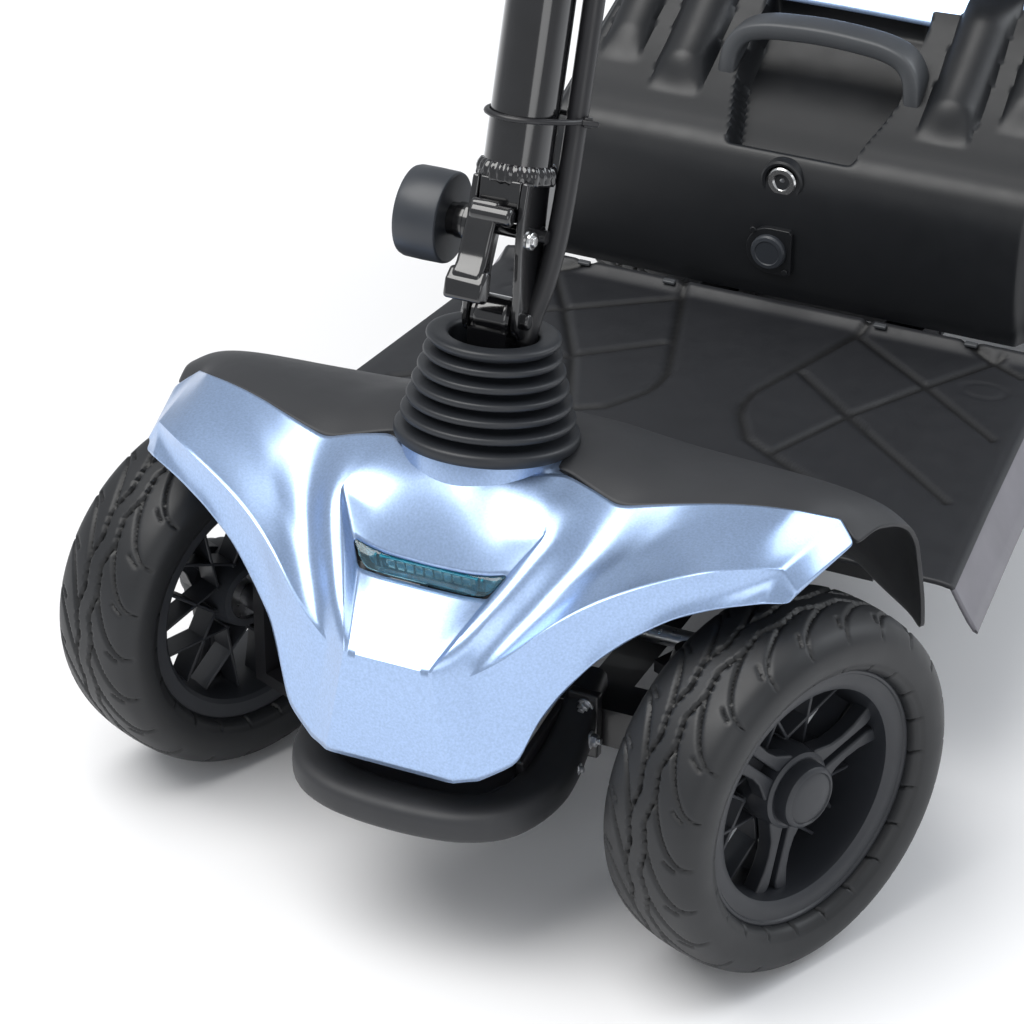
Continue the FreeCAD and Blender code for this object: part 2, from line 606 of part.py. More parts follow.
# ---------------------------------------------------------------------------------- drive and rear cover
shroud_outline = [
    (228, 215), (228, 370), (256, 382), (450, 336), (500, 250), (494, 250), (446, 330), (256, 376),
    (233, 366), (233, 215)]
shroud = padded(shroud_outline, "YZ_Plane", 280)
shroud_shell = cut(shroud, rod(26, 200, (0, size("seat_y"), 300)))
fender_list = []
for name, side in SIDES:
    outer = rod("wheel_radius + 16", 62, (side * 161, rear_y, axle_z), (side, 0, 0))
    inner = rod("wheel_radius + 12", 80, (side * 150, rear_y, axle_z), (side, 0, 0))
    low_cut = block(200, 400, 200, (side * 190, rear_y, 65))
    fender_list.append(cut(outer, inner, low_cut))
node("rear_cover", group(shroud_shell, *fender_list))
gearbox = fuse(block(70, 126, 74, (38, rear_y + 15, axle_z)),
               rod(24, 150, (-75, rear_y, axle_z), (1, 0, 0)))
node("drive_motor", rod(38, 108, (2.9, rear_y + 66, 116), (-1, 0, 0)))
axle_parts = []
for name, side in SIDES:
    start = side * 70
    axle_parts.append(rod("spindle_radius", 134, (start, rear_y, axle_z), (side, 0, 0)))
node("transaxle", fuse(cut(gearbox, block(240, 260, 60, (0, rear_y, 176))), *axle_parts))
node("controller", block(34, 66, 28, (36, 240, 176)))
node("freewheel_lever", fuse(block(8, 10, 70, (93, rear_y + 30, 165)),
                             rod(9, 26, (89, rear_y + 30, 200), (1, 0, 0))))
fork = []
for side in (-1, 1):
    fork.append(block(4, 42, 46, (side * 21, size("anti_tip_y") + 2, 46)))
fork.append(block(46, 26, 10, (0, size("anti_tip_y") - 6, 70)))
tip_axle = rod(4, 46, (-23, size("anti_tip_y"), size("anti_tip_radius") + 6), (1, 0, 0))
tip_wheel = rod("anti_tip_radius", 30, (-15, size("anti_tip_y"), size("anti_tip_radius") + 6), (1, 0, 0))
tip_bore = rod(4.05, 60, (-30, size("anti_tip_y"), size("anti_tip_radius") + 6), (1, 0, 0))
node("anti_tip_wheel", cut(tip_wheel, tip_bore))

# ---------------------------------------------------------------------------------- seat
seat_y = size("seat_y")
base_z = size("seat_base_z")
socket_tube = rod(24, 205, (0, seat_y, 185))
post_bore = rod("18 + running_gap", 260, (0, seat_y, 192))
node("rear_frame", cut(fuse(*rear_parts, *fork, tip_axle, socket_tube), post_bore))
post = rod(18, base_z - 212 - 10, (0, seat_y, 212))
node("seat_post", fuse(post, rod(30, 8, (0, seat_y, base_z - 18))))
base = fuse(block(240, 240, 6, (0, seat_y, base_z + 3)), rod(34, 9, (0, seat_y, base_z - 9)),
            block(520 - 80, 24, 20, (0, seat_y + 110, base_z - 10)))
lever_y = seat_y - 30
node("swivel_lever", fuse(block(110, 14, 6, (175, lever_y, base_z - 8)),
                          rod(8, 30, (215, lever_y, base_z - 8), (1, 0, 0))))
cushion_z = base_z + 6.5 + size("cushion_height") / 2
node("seat_cushion", block("seat_width", "seat_depth", "cushion_height", (0, seat_y, cushion_z)))

hinge_z = size("backrest_hinge_z")
hinge_y = seat_y + size("seat_depth") / 2 + 24
arm_z = size("armrest_z")
BRACKET_X = 206
bracket_parts = [block(2 * BRACKET_X, 20, 10, (0, hinge_y, base_z + 1)),
                 block(60, 84, 6, (0, hinge_y - 42, base_z + 3))]
bracket_holes = []
for side in (-1, 1):
    bracket_mid = (side * BRACKET_X, hinge_y, (arm_z + base_z + 10) / 2)
    bracket_parts.append(block(6, 34, arm_z - base_z + 14, bracket_mid))
    bracket_parts.append(rod(6, 15, (side * 194, hinge_y, hinge_z), (side, 0, 0)))
    bracket_holes.append(rod("6 + running_gap", 12, (side * 200, hinge_y, arm_z), (side, 0, 0)))
node("seat_base", cut(fuse(base, *bracket_parts), *bracket_holes))

back_mid = hinge_z + 22 + size("backrest_height") / 2
frame_list = [block("backrest_width + 20", 8, "backrest_height - 30", (0, hinge_y + 12, back_mid))]
hinge_holes = []
for side in (-1, 1):
    frame_list.append(block(6, 26, 60, (side * 199.5, hinge_y + 3, hinge_z + 14)))
    frame_list.append(block(14, 8, 22, (side * 195.5, hinge_y + 12, hinge_z + 33)))
    hinge_holes.append(rod("6 + running_gap", 12, (side * 194, hinge_y, hinge_z), (side, 0, 0)))
node("backrest_frame", cut(fuse(*frame_list), *hinge_holes))
pad_y = hinge_y + 8 - size("backrest_thick") / 2 - 0.5
node("backrest_pad", block("backrest_width", "backrest_thick", "backrest_height", (0, pad_y, back_mid)))

for name, side in SIDES:
    arm_y = hinge_y + 10 - size("armrest_length") / 2
    bar = block(8, "armrest_length", 18, (side * 214.5, arm_y, arm_z))
    arm_pin = rod(6, 9, (side * 203, hinge_y, arm_z), (side, 0, 0))
    node("armrest_" + name, fuse(bar, arm_pin))
    node("arm_pad_" + name, block(40, "armrest_length - 50", 24, (side * 226, arm_y - 25, arm_z + 21)))

doc.recompute()
os.makedirs("parts", exist_ok=True)
for item in doc.Objects:
    if "Invalid" in item.State or "Error" in item.State:
        used = [other.Label for other in item.InListRecursive]
        raise RuntimeError("failed object: %s %s, used by %s" % (item.Label, item.State, used))
for label, item in NODES.items():
    if item.Shape.isNull() or not item.Shape.isValid():
        raise RuntimeError("bad shape: " + label)
    item.Shape.exportStep("parts/%s.step" % label)
whole = Part.makeCompound([item.Shape for item in NODES.values()]).BoundBox
print(len(NODES), "nodes", whole)
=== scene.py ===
import bmesh
import bpy
import math
import numpy as np
from mathutils import Matrix, Vector


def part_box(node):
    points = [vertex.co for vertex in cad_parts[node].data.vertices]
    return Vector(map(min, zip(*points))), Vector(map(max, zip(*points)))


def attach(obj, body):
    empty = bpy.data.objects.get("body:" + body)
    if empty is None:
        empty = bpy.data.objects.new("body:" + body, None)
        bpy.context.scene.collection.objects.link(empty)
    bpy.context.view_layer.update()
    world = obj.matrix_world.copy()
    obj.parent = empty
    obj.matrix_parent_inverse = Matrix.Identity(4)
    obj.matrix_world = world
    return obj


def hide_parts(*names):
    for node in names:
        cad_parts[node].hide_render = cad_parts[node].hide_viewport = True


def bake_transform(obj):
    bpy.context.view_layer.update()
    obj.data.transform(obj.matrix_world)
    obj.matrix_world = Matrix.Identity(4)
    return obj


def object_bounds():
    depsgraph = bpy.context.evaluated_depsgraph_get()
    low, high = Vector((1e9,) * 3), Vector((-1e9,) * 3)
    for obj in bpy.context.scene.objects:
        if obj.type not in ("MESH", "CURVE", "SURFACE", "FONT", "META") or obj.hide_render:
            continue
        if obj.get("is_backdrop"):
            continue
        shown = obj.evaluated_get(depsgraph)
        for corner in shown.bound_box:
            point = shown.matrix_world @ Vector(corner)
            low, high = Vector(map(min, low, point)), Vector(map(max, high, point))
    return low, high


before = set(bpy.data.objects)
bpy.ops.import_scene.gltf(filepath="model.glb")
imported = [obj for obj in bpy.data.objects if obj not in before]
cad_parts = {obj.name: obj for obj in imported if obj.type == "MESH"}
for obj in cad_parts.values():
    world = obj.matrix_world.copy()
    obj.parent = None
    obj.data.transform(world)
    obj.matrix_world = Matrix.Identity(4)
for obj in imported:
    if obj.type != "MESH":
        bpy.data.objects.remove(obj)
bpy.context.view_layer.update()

# Sizes are in millimetres in the shared frame, and MM turns them into metres.
MM = 0.001
STEER = math.radians(22.4)
LEAN_COLUMN = math.radians(9.8)
LEAN_TILLER = math.radians(18.8)
COLUMN = Vector((0, -416.6, 289.4))
PIVOT = Vector((0, -402.8, 358.0))
AXLE_Z = 115.0
FRONT_Y = -410.0
REAR_Y = 330.0
WALL = 3.0
TYRE_RADIUS = 115.0
# Turns a shape drawn in the XY plane so that it stands in the YZ plane, and one along X so that it stands along Z.
SIDE_PLANE = Matrix(((0, 0, 1, 0), (1, 0, 0, 0), (0, 1, 0, 0), (0, 0, 0, 1)))
X_TO_Z = Matrix.Rotation(-math.pi / 2, 4, "Y")


# ------------------------------------------------------------------ materials
def material(name, colour, rough, metallic=0.0, coat=0.0, mottle=(30, 0.06), grain=(900, 0.15, 0.0002),
             rough_spread=0.08, edge=0.0, spec=0.5, weave=None, sheen=0.0, groove=0.0):
    mat = bpy.data.materials.new(name)
    mat.use_nodes = True
    tree = mat.node_tree
    shader = tree.nodes["Principled BSDF"]
    coords = tree.nodes.new("ShaderNodeTexCoord")

    def noise(scale, detail=4.0):
        item = tree.nodes.new("ShaderNodeTexNoise")
        item.inputs["Scale"].default_value = scale
        item.inputs["Detail"].default_value = detail
        tree.links.new(coords.outputs["Object"], item.inputs["Vector"])
        return item

    broad = noise(mottle[0])
    ramp = tree.nodes.new("ShaderNodeValToRGB")
    ramp.color_ramp.elements[0].position = 0.3
    ramp.color_ramp.elements[1].position = 0.7
    ramp.color_ramp.elements[0].color = [c * (1 - mottle[1]) for c in colour] + [1]
    ramp.color_ramp.elements[1].color = [min(1, c * (1 + mottle[1])) for c in colour] + [1]
    tree.links.new(broad.outputs["Fac"], ramp.inputs["Fac"])
    colour_out = ramp.outputs["Color"]
    if edge:
        geometry = tree.nodes.new("ShaderNodeNewGeometry")
        rim = tree.nodes.new("ShaderNodeMapRange")
        rim.inputs["From Min"].default_value = 0.52
        rim.inputs["From Max"].default_value = 0.62
        rim.inputs["To Max"].default_value = edge
        tree.links.new(geometry.outputs["Pointiness"], rim.inputs["Value"])
        worn = tree.nodes.new("ShaderNodeMix")
        worn.data_type = "RGBA"
        worn.inputs["B"].default_value = [min(1, c * 2.2 + 0.03) for c in colour] + [1]
        tree.links.new(rim.outputs["Result"], worn.inputs["Factor"])
        tree.links.new(colour_out, worn.inputs["A"])
        colour_out = worn.outputs["Result"]
    # Painted shade, partly also dirt: where the mesh's 'groove' attribute is set, the colour is darkened towards
    # near-black, standing in for the shade in the grooves.
    if groove:
        painted_groove_shade = tree.nodes.new("ShaderNodeAttribute")
        painted_groove_shade.attribute_name = "groove"
        shade = tree.nodes.new("ShaderNodeMapRange")
        shade.inputs["To Max"].default_value = groove
        tree.links.new(painted_groove_shade.outputs["Fac"], shade.inputs["Value"])
        shaded = tree.nodes.new("ShaderNodeMix")
        shaded.data_type = "RGBA"
        shaded.inputs["B"].default_value = (0.002, 0.002, 0.002, 1)
        tree.links.new(shade.outputs["Result"], shaded.inputs["Factor"])
        tree.links.new(colour_out, shaded.inputs["A"])
        colour_out = shaded.outputs["Result"]
    tree.links.new(colour_out, shader.inputs["Base Color"])
    spread = tree.nodes.new("ShaderNodeMapRange")
    spread.inputs["To Min"].default_value = max(0.02, rough - rough_spread)
    spread.inputs["To Max"].default_value = min(1.0, rough + rough_spread)
    tree.links.new(noise(mottle[0] * 2.3).outputs["Fac"], spread.inputs["Value"])
    tree.links.new(spread.outputs["Result"], shader.inputs["Roughness"])
    bump = tree.nodes.new("ShaderNodeBump")
    bump.inputs["Strength"].default_value = grain[1]
    bump.inputs["Distance"].default_value = grain[2]
    if weave:
        waves = []
        for direction in ("X", "Z"):
            wave = tree.nodes.new("ShaderNodeTexWave")
            wave.bands_direction = direction
            wave.inputs["Scale"].default_value = weave
            wave.inputs["Distortion"].default_value = 0.6
            tree.links.new(coords.outputs["Object"], wave.inputs["Vector"])
            waves.append(wave)
        blend = tree.nodes.new("ShaderNodeMath")
        blend.operation = "MAXIMUM"
        for socket, wave in zip(blend.inputs, waves):
            tree.links.new(wave.outputs["Fac"], socket)
        tree.links.new(blend.outputs["Value"], bump.inputs["Height"])
    else:
        tree.links.new(noise(grain[0], 2.0).outputs["Fac"], bump.inputs["Height"])
    tree.links.new(bump.outputs["Normal"], shader.inputs["Normal"])
    shader.inputs["Metallic"].default_value = metallic
    shader.inputs["Coat Weight"].default_value = coat
    shader.inputs["Coat Roughness"].default_value = 0.08
    shader.inputs["Specular IOR Level"].default_value = spec
    shader.inputs["Sheen Weight"].default_value = sheen
    return mat


BLUE = material("blue_metallic", (0.36, 0.49, 0.73), 0.30, metallic=0.85, coat=0.35, mottle=(700, 0.10),
                grain=(2600, 0.05, 0.0001), rough_spread=0.03)
MOULDED = material("moulded_black", (0.021, 0.022, 0.025), 0.55, grain=(1400, 0.35, 0.0002), edge=0.25)
# Deck colour; groove=0.8 sets how strongly the painted groove shade, partly also dirt, darkens it.
DECK = material("deck_black", (0.013, 0.014, 0.017), 0.50, grain=(1700, 0.45, 0.0002), edge=0.3, groove=0.8)
BATTERY = material("battery_black", (0.007, 0.008, 0.010), 0.42, grain=(1500, 0.20, 0.0002), edge=0.15)
GLOSS = material("gloss_black", (0.006, 0.006, 0.007), 0.13, coat=0.8, mottle=(60, 0.2), grain=(500, 0.02,
        0.0001),
                 rough_spread=0.03)
FRAME = material("frame_black", (0.014, 0.014, 0.016), 0.34, coat=0.2, grain=(700, 0.12, 0.0002), edge=0.2)
RUBBER = material("boot_rubber", (0.014, 0.016, 0.020), 0.46, grain=(800, 0.10, 0.0002), edge=0.2)
# Tyre colour; groove=0.85 sets how strongly the painted groove shade, partly also dirt, darkens it.
TYRE = material("tyre_rubber", (0.009, 0.010, 0.012), 0.50, mottle=(25, 0.12), grain=(700, 0.14, 0.0002),
        edge=0.15,
                groove=0.85)
HUB = material("hub_grey", (0.018, 0.020, 0.025), 0.46, grain=(1300, 0.22, 0.0002), edge=0.35)
KNOB = material("knob_plastic", (0.026, 0.030, 0.037), 0.40, grain=(1200, 0.15, 0.0002), edge=0.3)
GREY = material("handle_grey", (0.058, 0.062, 0.068), 0.44, grain=(1200, 0.2, 0.0002), edge=0.2)
LIP = material("lip_mauve", (0.16, 0.155, 0.175), 0.42, grain=(1200, 0.15, 0.0002))
ZINC = material("zinc_plate", (0.56, 0.57, 0.59), 0.30, metallic=1.0, mottle=(120, 0.12), grain=(500, 0.1,
        0.0002))
STEEL = material("bright_steel", (0.68, 0.68, 0.68), 0.2, metallic=1.0, mottle=(200, 0.06), grain=(900,
        0.05, 0.0001))
LED = material("led_silver", (0.80, 0.86, 0.90), 0.24, metallic=0.6, mottle=(260, 0.18), grain=(600, 0.1,
        0.0003))
TEAL = material("lamp_teal", (0.012, 0.20, 0.28), 0.2, coat=0.6, mottle=(300, 0.3), grain=(300, 0.1,
        0.0002))
FABRIC = material("seat_weave", (0.022, 0.023, 0.026), 0.85, mottle=(18, 0.15), grain=(900, 0.5, 0.0006),
        weave=260,
                  sheen=0.35)
VINYL = material("pad_vinyl", (0.020, 0.020, 0.022), 0.48, mottle=(20, 0.1), grain=(420, 0.35, 0.0004))
PIPING = material("piping_grey", (0.07, 0.072, 0.078), 0.6, grain=(900, 0.2, 0.0002))
RED = material("signal_red", (0.42, 0.02, 0.015), 0.32, coat=0.3, grain=(900, 0.06, 0.0001))
SCREEN = material("display_gloss", (0.02, 0.035, 0.05), 0.12, coat=0.8, mottle=(40, 0.3), grain=(300, 0.02,
        0.0001))
CABLE = material("cable_sheath", (0.012, 0.012, 0.014), 0.38, grain=(1000, 0.1, 0.0002))


def smoked_glass():
    mat = material("smoked_lens", (0.34, 0.66, 0.80), 0.05, coat=0.5, mottle=(90, 0.25), grain=(200, 0.02,
            0.0001),
                   rough_spread=0.02)
    shader = mat.node_tree.nodes["Principled BSDF"]
    shader.inputs["Transmission Weight"].default_value = 0.95
    shader.inputs["IOR"].default_value = 1.35
    return mat


LENS = smoked_glass()


# ------------------------------------------------------------------ mesh helpers
def keep(obj, mats, body, nodes=(), sharp=38):
    for mat in mats if isinstance(mats, (list, tuple)) else [mats]:
        obj.data.materials.append(mat)
    if obj.type == "MESH":
        obj.data.shade_smooth()
        obj.data.set_sharp_from_angle(angle=math.radians(sharp))
    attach(obj, body)
    if nodes:
        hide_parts(*nodes)
    return obj


def shift(x, y, z):
    return Matrix.Translation((x, y, z))


def add_wall(obj, depth, offset):
    wall = obj.modifiers.new("wall", "SOLIDIFY")
    wall.thickness = depth * MM
    wall.offset = offset


def link(name, mesh):
    obj = bpy.data.objects.new(name, mesh)
    bpy.context.collection.objects.link(obj)
    return obj


def mesh_from(name, verts, faces, merge=0.02, place=None):
    mesh = bpy.data.meshes.new(name)
    work = bmesh.new()
    made = [work.verts.new(Vector(v)) for v in verts]
    for face in faces:
        if len(set(face)) >= 3:
            try:
                work.faces.new([made[i] for i in face])
            except ValueError:
                pass
    bmesh.ops.remove_doubles(work, verts=work.verts, dist=merge)
    bmesh.ops.dissolve_degenerate(work, dist=merge, edges=work.edges)
    bmesh.ops.recalc_face_normals(work, faces=work.faces)
    if place is not None:
        work.transform(place)
    work.transform(Matrix.Scale(MM, 4))
    work.to_mesh(mesh)
    work.free()
    return link(name, mesh)


def smooth_line(points, count, closed=False):
    """Catmull-Rom points, spaced by chord length, through the given ones."""
    pts = [np.array(p, float) for p in points]
    if closed:
        ext = [pts[-1]] + pts + pts[:2]
    else:
        ext = [2 * pts[0] - pts[1]] + pts + [2 * pts[-1] - pts[-2]]
    dense = []
    for a, b, c, d in zip(ext, ext[1:], ext[2:], ext[3:]):
        for t in np.linspace(0, 1, 16, endpoint=False):
            dense.append(0.5 * (2 * b + (c - a) * t + (2 * a - 5 * b + 4 * c - d) * t ** 2
                                + (3 * b - a - 3 * c + d) * t ** 3))
    dense.append(pts[0] if closed else pts[-1])
    return respace(dense, count)


def respace(points, count):
    pts = np.array([np.array(p, float) for p in points])
    steps = np.concatenate([[0], np.cumsum(np.linalg.norm(np.diff(pts, axis=0), axis=1))])
    at = np.linspace(0, steps[-1], count)
    return np.stack([np.interp(at, steps, pts[:, k]) for k in range(pts.shape[1])], axis=1)


def grid_faces(rows, cols, wrap_rows=False, wrap_cols=False, skip=()):
    faces = []
    for i in range(rows if wrap_rows else rows - 1):
        for j in range(cols if wrap_cols else cols - 1):
            if (i, j) in skip:
                continue
            a = i * cols + j
            b = i * cols + (j + 1) % cols
            c = ((i + 1) % rows) * cols + (j + 1) % cols
            d = ((i + 1) % rows) * cols + j
            faces.append((a, b, c, d))
    return faces


def lathe(name, profile, place, steps=72, closed=False):
    """(along, radius) points turned about the local X axis."""
    verts = []
    for k in range(steps):
        turn = 2 * math.pi * k / steps
        for along, radius in profile:
            verts.append((along, -radius * math.cos(turn), radius * math.sin(turn)))
    return mesh_from(name, verts, grid_faces(steps, len(profile), wrap_rows=True, wrap_cols=closed),
            place=place)


def axis_place(origin, direction):
    """A placement whose local X runs along the direction."""
    return Matrix.Translation(Vector(origin)) @ Vector((1, 0,
            0)).rotation_difference(Vector(direction)).to_matrix().to_4x4()


def box_mesh(work, size, place):
    made = bmesh.ops.create_cube(work, size=1.0)["verts"]
    bmesh.ops.transform(work, matrix=place @ Matrix.Diagonal((*size, 1.0)), verts=made)
    return made


def solid_rod(work, start, end, radius, radius_end=None, sides=32):
    start, end = Vector(start), Vector(end)
    made = bmesh.ops.create_cone(work, cap_ends=True, segments=sides, radius1=radius,
                                 radius2=radius if radius_end is None else radius_end,
                                 depth=(end - start).length)["verts"]
    turn = Vector((0, 0, 1)).rotation_difference(end - start).to_matrix().to_4x4()
    bmesh.ops.transform(work, matrix=Matrix.Translation((start + end) / 2) @ turn, verts=made)
    return made


def prism(work, outline, depth, place):
    """An outline in the local XY plane, given thickness evenly to both sides of it."""
    low = [work.verts.new(place @ Vector((x, y, -depth / 2))) for x, y in outline]
    top = [work.verts.new(place @ Vector((x, y, depth / 2))) for x, y in outline]
    work.faces.new(list(reversed(low)))
    work.faces.new(top)
    for i in range(len(outline)):
        j = (i + 1) % len(outline)
        work.faces.new([low[i], low[j], top[j], top[i]])


def finish_solid(name, work, bevel=1.0, segments=2, subsurf=0, angle=30):
    bmesh.ops.recalc_face_normals(work, faces=work.faces)
    work.transform(Matrix.Scale(MM, 4))
    mesh = bpy.data.meshes.new(name)
    work.to_mesh(mesh)
    work.free()
    obj = link(name, mesh)
    if bevel:
        add = obj.modifiers.new("edges", "BEVEL")
        add.width = bevel * MM
        add.segments = segments
        add.limit_method = "ANGLE"
        add.angle_limit = math.radians(angle)
        add.harden_normals = False
    if subsurf:
        obj.modifiers.new("smooth", "SUBSURF").levels = subsurf
        obj.modifiers["smooth"].render_levels = subsurf
    return obj


def sweep(name, points, radius, sides=20, closed_ends=True, flat=1.0):
    """A tube along a line of points, all in millimetres; flat squeezes it along its own normal."""
    pts = [Vector(p) for p in points]
    verts, normal = [], None
    for i, p in enumerate(pts):
        way = (pts[min(i + 1, len(pts) - 1)] - pts[max(i - 1, 0)]).normalized()
        if normal is None:
            normal = way.orthogonal().normalized()
        normal = (normal - way * normal.dot(way)).normalized()
        side = way.cross(normal)
        size = radius[i] if isinstance(radius, (list, tuple)) else radius
        for k in range(sides):
            turn = 2 * math.pi * k / sides
            verts.append(p + normal * (math.cos(turn) * size * flat) + side * (math.sin(turn) * size))
    faces = grid_faces(len(pts), sides, wrap_cols=True)
    if closed_ends:
        faces.append(tuple(range(sides)))
        faces.append(tuple(range((len(pts) - 1) * sides, len(pts) * sides)))
    return mesh_from(name, verts, faces, merge=0.0005)


def crease_lines(obj, lines, value):
    """Crease the edges that join neighbouring points of the given lines (points in millimetres)."""
    mesh = obj.data
    attribute = mesh.attributes.get("crease_edge") or mesh.attributes.new("crease_edge", "FLOAT", "EDGE")
    spots = {}
    for vert in mesh.vertices:
        spots[tuple(round(c / MM * 20) for c in vert.co)] = vert.index
    wanted = set()
    for line in lines:
        ids = []
        for point in line:
            key = tuple(round(c * 20) for c in point)
            found = [spots[k] for k in [(key[0] + i, key[1] + j, key[2] + m) for i in (0, 1, -1)
                                        for j in (0, 1, -1) for m in (0, 1, -1)] if k in spots]
            ids.append(found[0] if found else None)
        for a, b in zip(ids, ids[1:]):
            if a is not None and b is not None:
                wanted.add(frozenset((a, b)))
    for edge in mesh.edges:
        if frozenset(edge.vertices) in wanted:
            attribute.data[edge.index].value = max(attribute.data[edge.index].value, value)


def thicken(obj, depth, levels=2):
    add = obj.modifiers.new("wall", "SOLIDIFY")
    add.thickness = depth * MM
    add.offset = -1
    add.use_even_offset = False
    add.edge_crease_outer = 0.7
    add.edge_crease_inner = 0.5
    add.edge_crease_rim = 0.3
    smooth = obj.modifiers.new("smooth", "SUBSURF")
    smooth.levels = levels
    smooth.render_levels = levels


# ------------------------------------------------------------------ camera, floor and light
scene = bpy.context.scene
camera = bpy.data.objects.new("camera", bpy.data.cameras.new("camera"))
bpy.context.collection.objects.link(camera)
camera.location = (0.8754, -2.2496, 1.4348)
azimuth, elevation = math.radians(25.118), math.radians(30.589)
look = -Vector((math.sin(azimuth) * math.cos(elevation), -math.cos(azimuth) * math.cos(elevation),
        math.sin(elevation)))
camera.rotation_euler = look.to_track_quat("-Z", "Y").to_euler()
camera.data.lens = 141.02
camera.data.sensor_width = 36
camera.data.clip_end = 60
scene.camera = camera

floor_mesh = bpy.data.meshes.new("floor")
floor_mesh.from_pydata([(-9, -9, 0), (9, -9, 0), (9, 9, 0), (-9, 9, 0)], [], [(0, 1, 2, 3)])
floor = link("floor", floor_mesh)
floor.data.materials.append(material("pale_floor", (0.93, 0.93, 0.94), 0.6, mottle=(1.2, 0.01), grain=(60,
        0.0, 0.0)))
floor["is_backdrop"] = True

world = bpy.data.worlds.new("studio")
scene.world = world
world.use_nodes = True
world.node_tree.nodes["Background"].inputs["Color"].default_value = (0.93, 0.96, 1.0, 1)
world.node_tree.nodes["Background"].inputs["Strength"].default_value = 0.52
scene.view_settings.view_transform = "Standard"
for name, spot, aim, size, power, tint in (
        ("key", (-0.9, -1.3, 3.2), (0, -0.3, 0.2), 2.6, 112, (1.0, 0.99, 0.97)),
        ("rim", (2.2, 1.6, 2.2), (0, 0, 0.3), 1.8, 38, (0.92, 0.96, 1.0)),
        ("fill", (2.4, -2.6, 1.4), (0.1, -0.4, 0.15), 1.6, 16, (1.0, 1.0, 1.0))):
    lamp = bpy.data.objects.new(name, bpy.data.lights.new(name, "AREA"))
    bpy.context.collection.objects.link(lamp)
    lamp.location = spot
    lamp.rotation_euler = (Vector(aim) - Vector(spot)).to_track_quat("-Z", "Y").to_euler()
    lamp.data.size = size
    lamp.data.energy = power
    lamp.data.color = tint


# ------------------------------------------------------------------ front fairing
RIDGE_ROWS = [
    # columns from the middle out: centre, mid, strip end, panel edge, ridge side, ridge crest, valley
    [(0, -463, 287), (18, -461, 286), (34, -450, 285), (50, -436, 283), (58, -431, 281), (77, -437, 279),
    (94, -440, 274)],
    [(0, -474, 275), (20, -472, 275), (36, -465, 276), (56, -457, 277), (62, -456, 276), (77, -455, 276),
    (92, -459, 264)],
    [(0, -486, 257), (23, -485, 258), (40, -481, 261), (64, -475.5, 267), (66, -476, 268), (74, -478, 267),
    (84, -482, 250)],
    [(0, -496, 241), (26, -495.5, 241.5), (39, -494, 243), (49.5, -492.5, 246), (58, -491, 257), (64, -496,
    256),
     (72, -502, 237)],
    [(0, -500, 229), (24, -500.5, 229.5), (34, -501.5, 231), (41, -503, 233), (49, -504, 243), (56, -509,
    244),
     (64, -513, 226)],
    [(0, -524, 218), (20, -525, 218), (28, -526, 218.5), (33, -526, 219), (38, -529, 224), (44, -531, 224),
     (54, -526, 213)],
    [(0, -549, 206), (15, -549, 206), (21, -549, 206), (25, -548.5, 206), (27.5, -549, 206.5), (33, -545,
    204),
     (45, -536, 201)],
]
NOSE_LOW = [
    [(0, -550, 170), (18, -550, 170), (26, -550, 170), (31, -550, 170), (34, -549.5, 170), (39, -546, 169),
     (50, -540, 168)],
    [(0, -549.5, 135), (20, -549.5, 135), (31, -549.5, 135), (37, -549.5, 135), (41, -549, 135), (47,
    -545.5, 135.5),
     (54, -542, 136)],
]
CREST = [(45, -536, 201), (70, -529, 218), (82, -520, 232), (102, -508, 246), (123, -497, 256), (145, -489,
        265),
         (174, -478, 274), (200, -452, 266)]
ARCH = [(54, -542, 136), (64, -535, 138), (74, -532, 147), (80, -529, 166), (83.5, -524, 176), (93, -515,
        190),
        (109, -508, 211), (124, -498, 223), (142, -493, 238), (161, -486, 246), (178, -476, 249), (195,
        -468, 251)]
SEAM = [(94, -440, 274), (121, -434, 279), (143, -424, 279.5), (166, -417, 281), (190, -409, 279), (209,
        -385, 265)]
FENDER = 10
crest = np.vstack([respace(CREST, FENDER - 1), [(209, -449, 251)]])
arch = np.vstack([respace(ARCH, FENDER - 1), [(206, -457, 247.5)]])
seam = np.vstack([respace(SEAM, FENDER - 1), [(221, -394, 256.5)]])
fairing_rows = []
for r, row in enumerate(RIDGE_ROWS):
    share = r / (len(RIDGE_ROWS) - 1)
    start = np.array(row[-1], float)
    fender = []
    for k in range(1, FENDER):
        point = seam[k] * (1 - share) + crest[k] * share
        drift = start - (seam[0] * (1 - share) + crest[0] * share)
        fade = max(0.0, 1 - k / 4.0) ** 1.5
        hump = 4.0 * math.sin(math.pi * share) * math.sin(math.pi * min(1, k / 8.0))
        point = point + drift * fade + np.array([0, -0.35, 0.9]) * hump
        fender.append(tuple(point))
    fairing_rows.append(list(row) + fender)
for r, row in enumerate(NOSE_LOW):
    share = (r + 1) / 2
    fender = []
    for k in range(1, FENDER):
        point = crest[k] * (1 - share) + arch[k] * share
        inset = 2.5 * math.sin(math.pi * share)
        fender.append(tuple(point + np.array([0, inset, 0])))
    fairing_rows.append(list(row) + fender)
COLS = len(fairing_rows[0])
LAMP_ROW = 3


def mirrored(rows):
    return [[(-x, y, z) for x, y, z in reversed(row[1:])] + list(row) for row in rows]


def mirror_lines(lines):
    return [list(line) for line in lines] + [[(-x, y, z) for x, y, z in line] for line in lines]


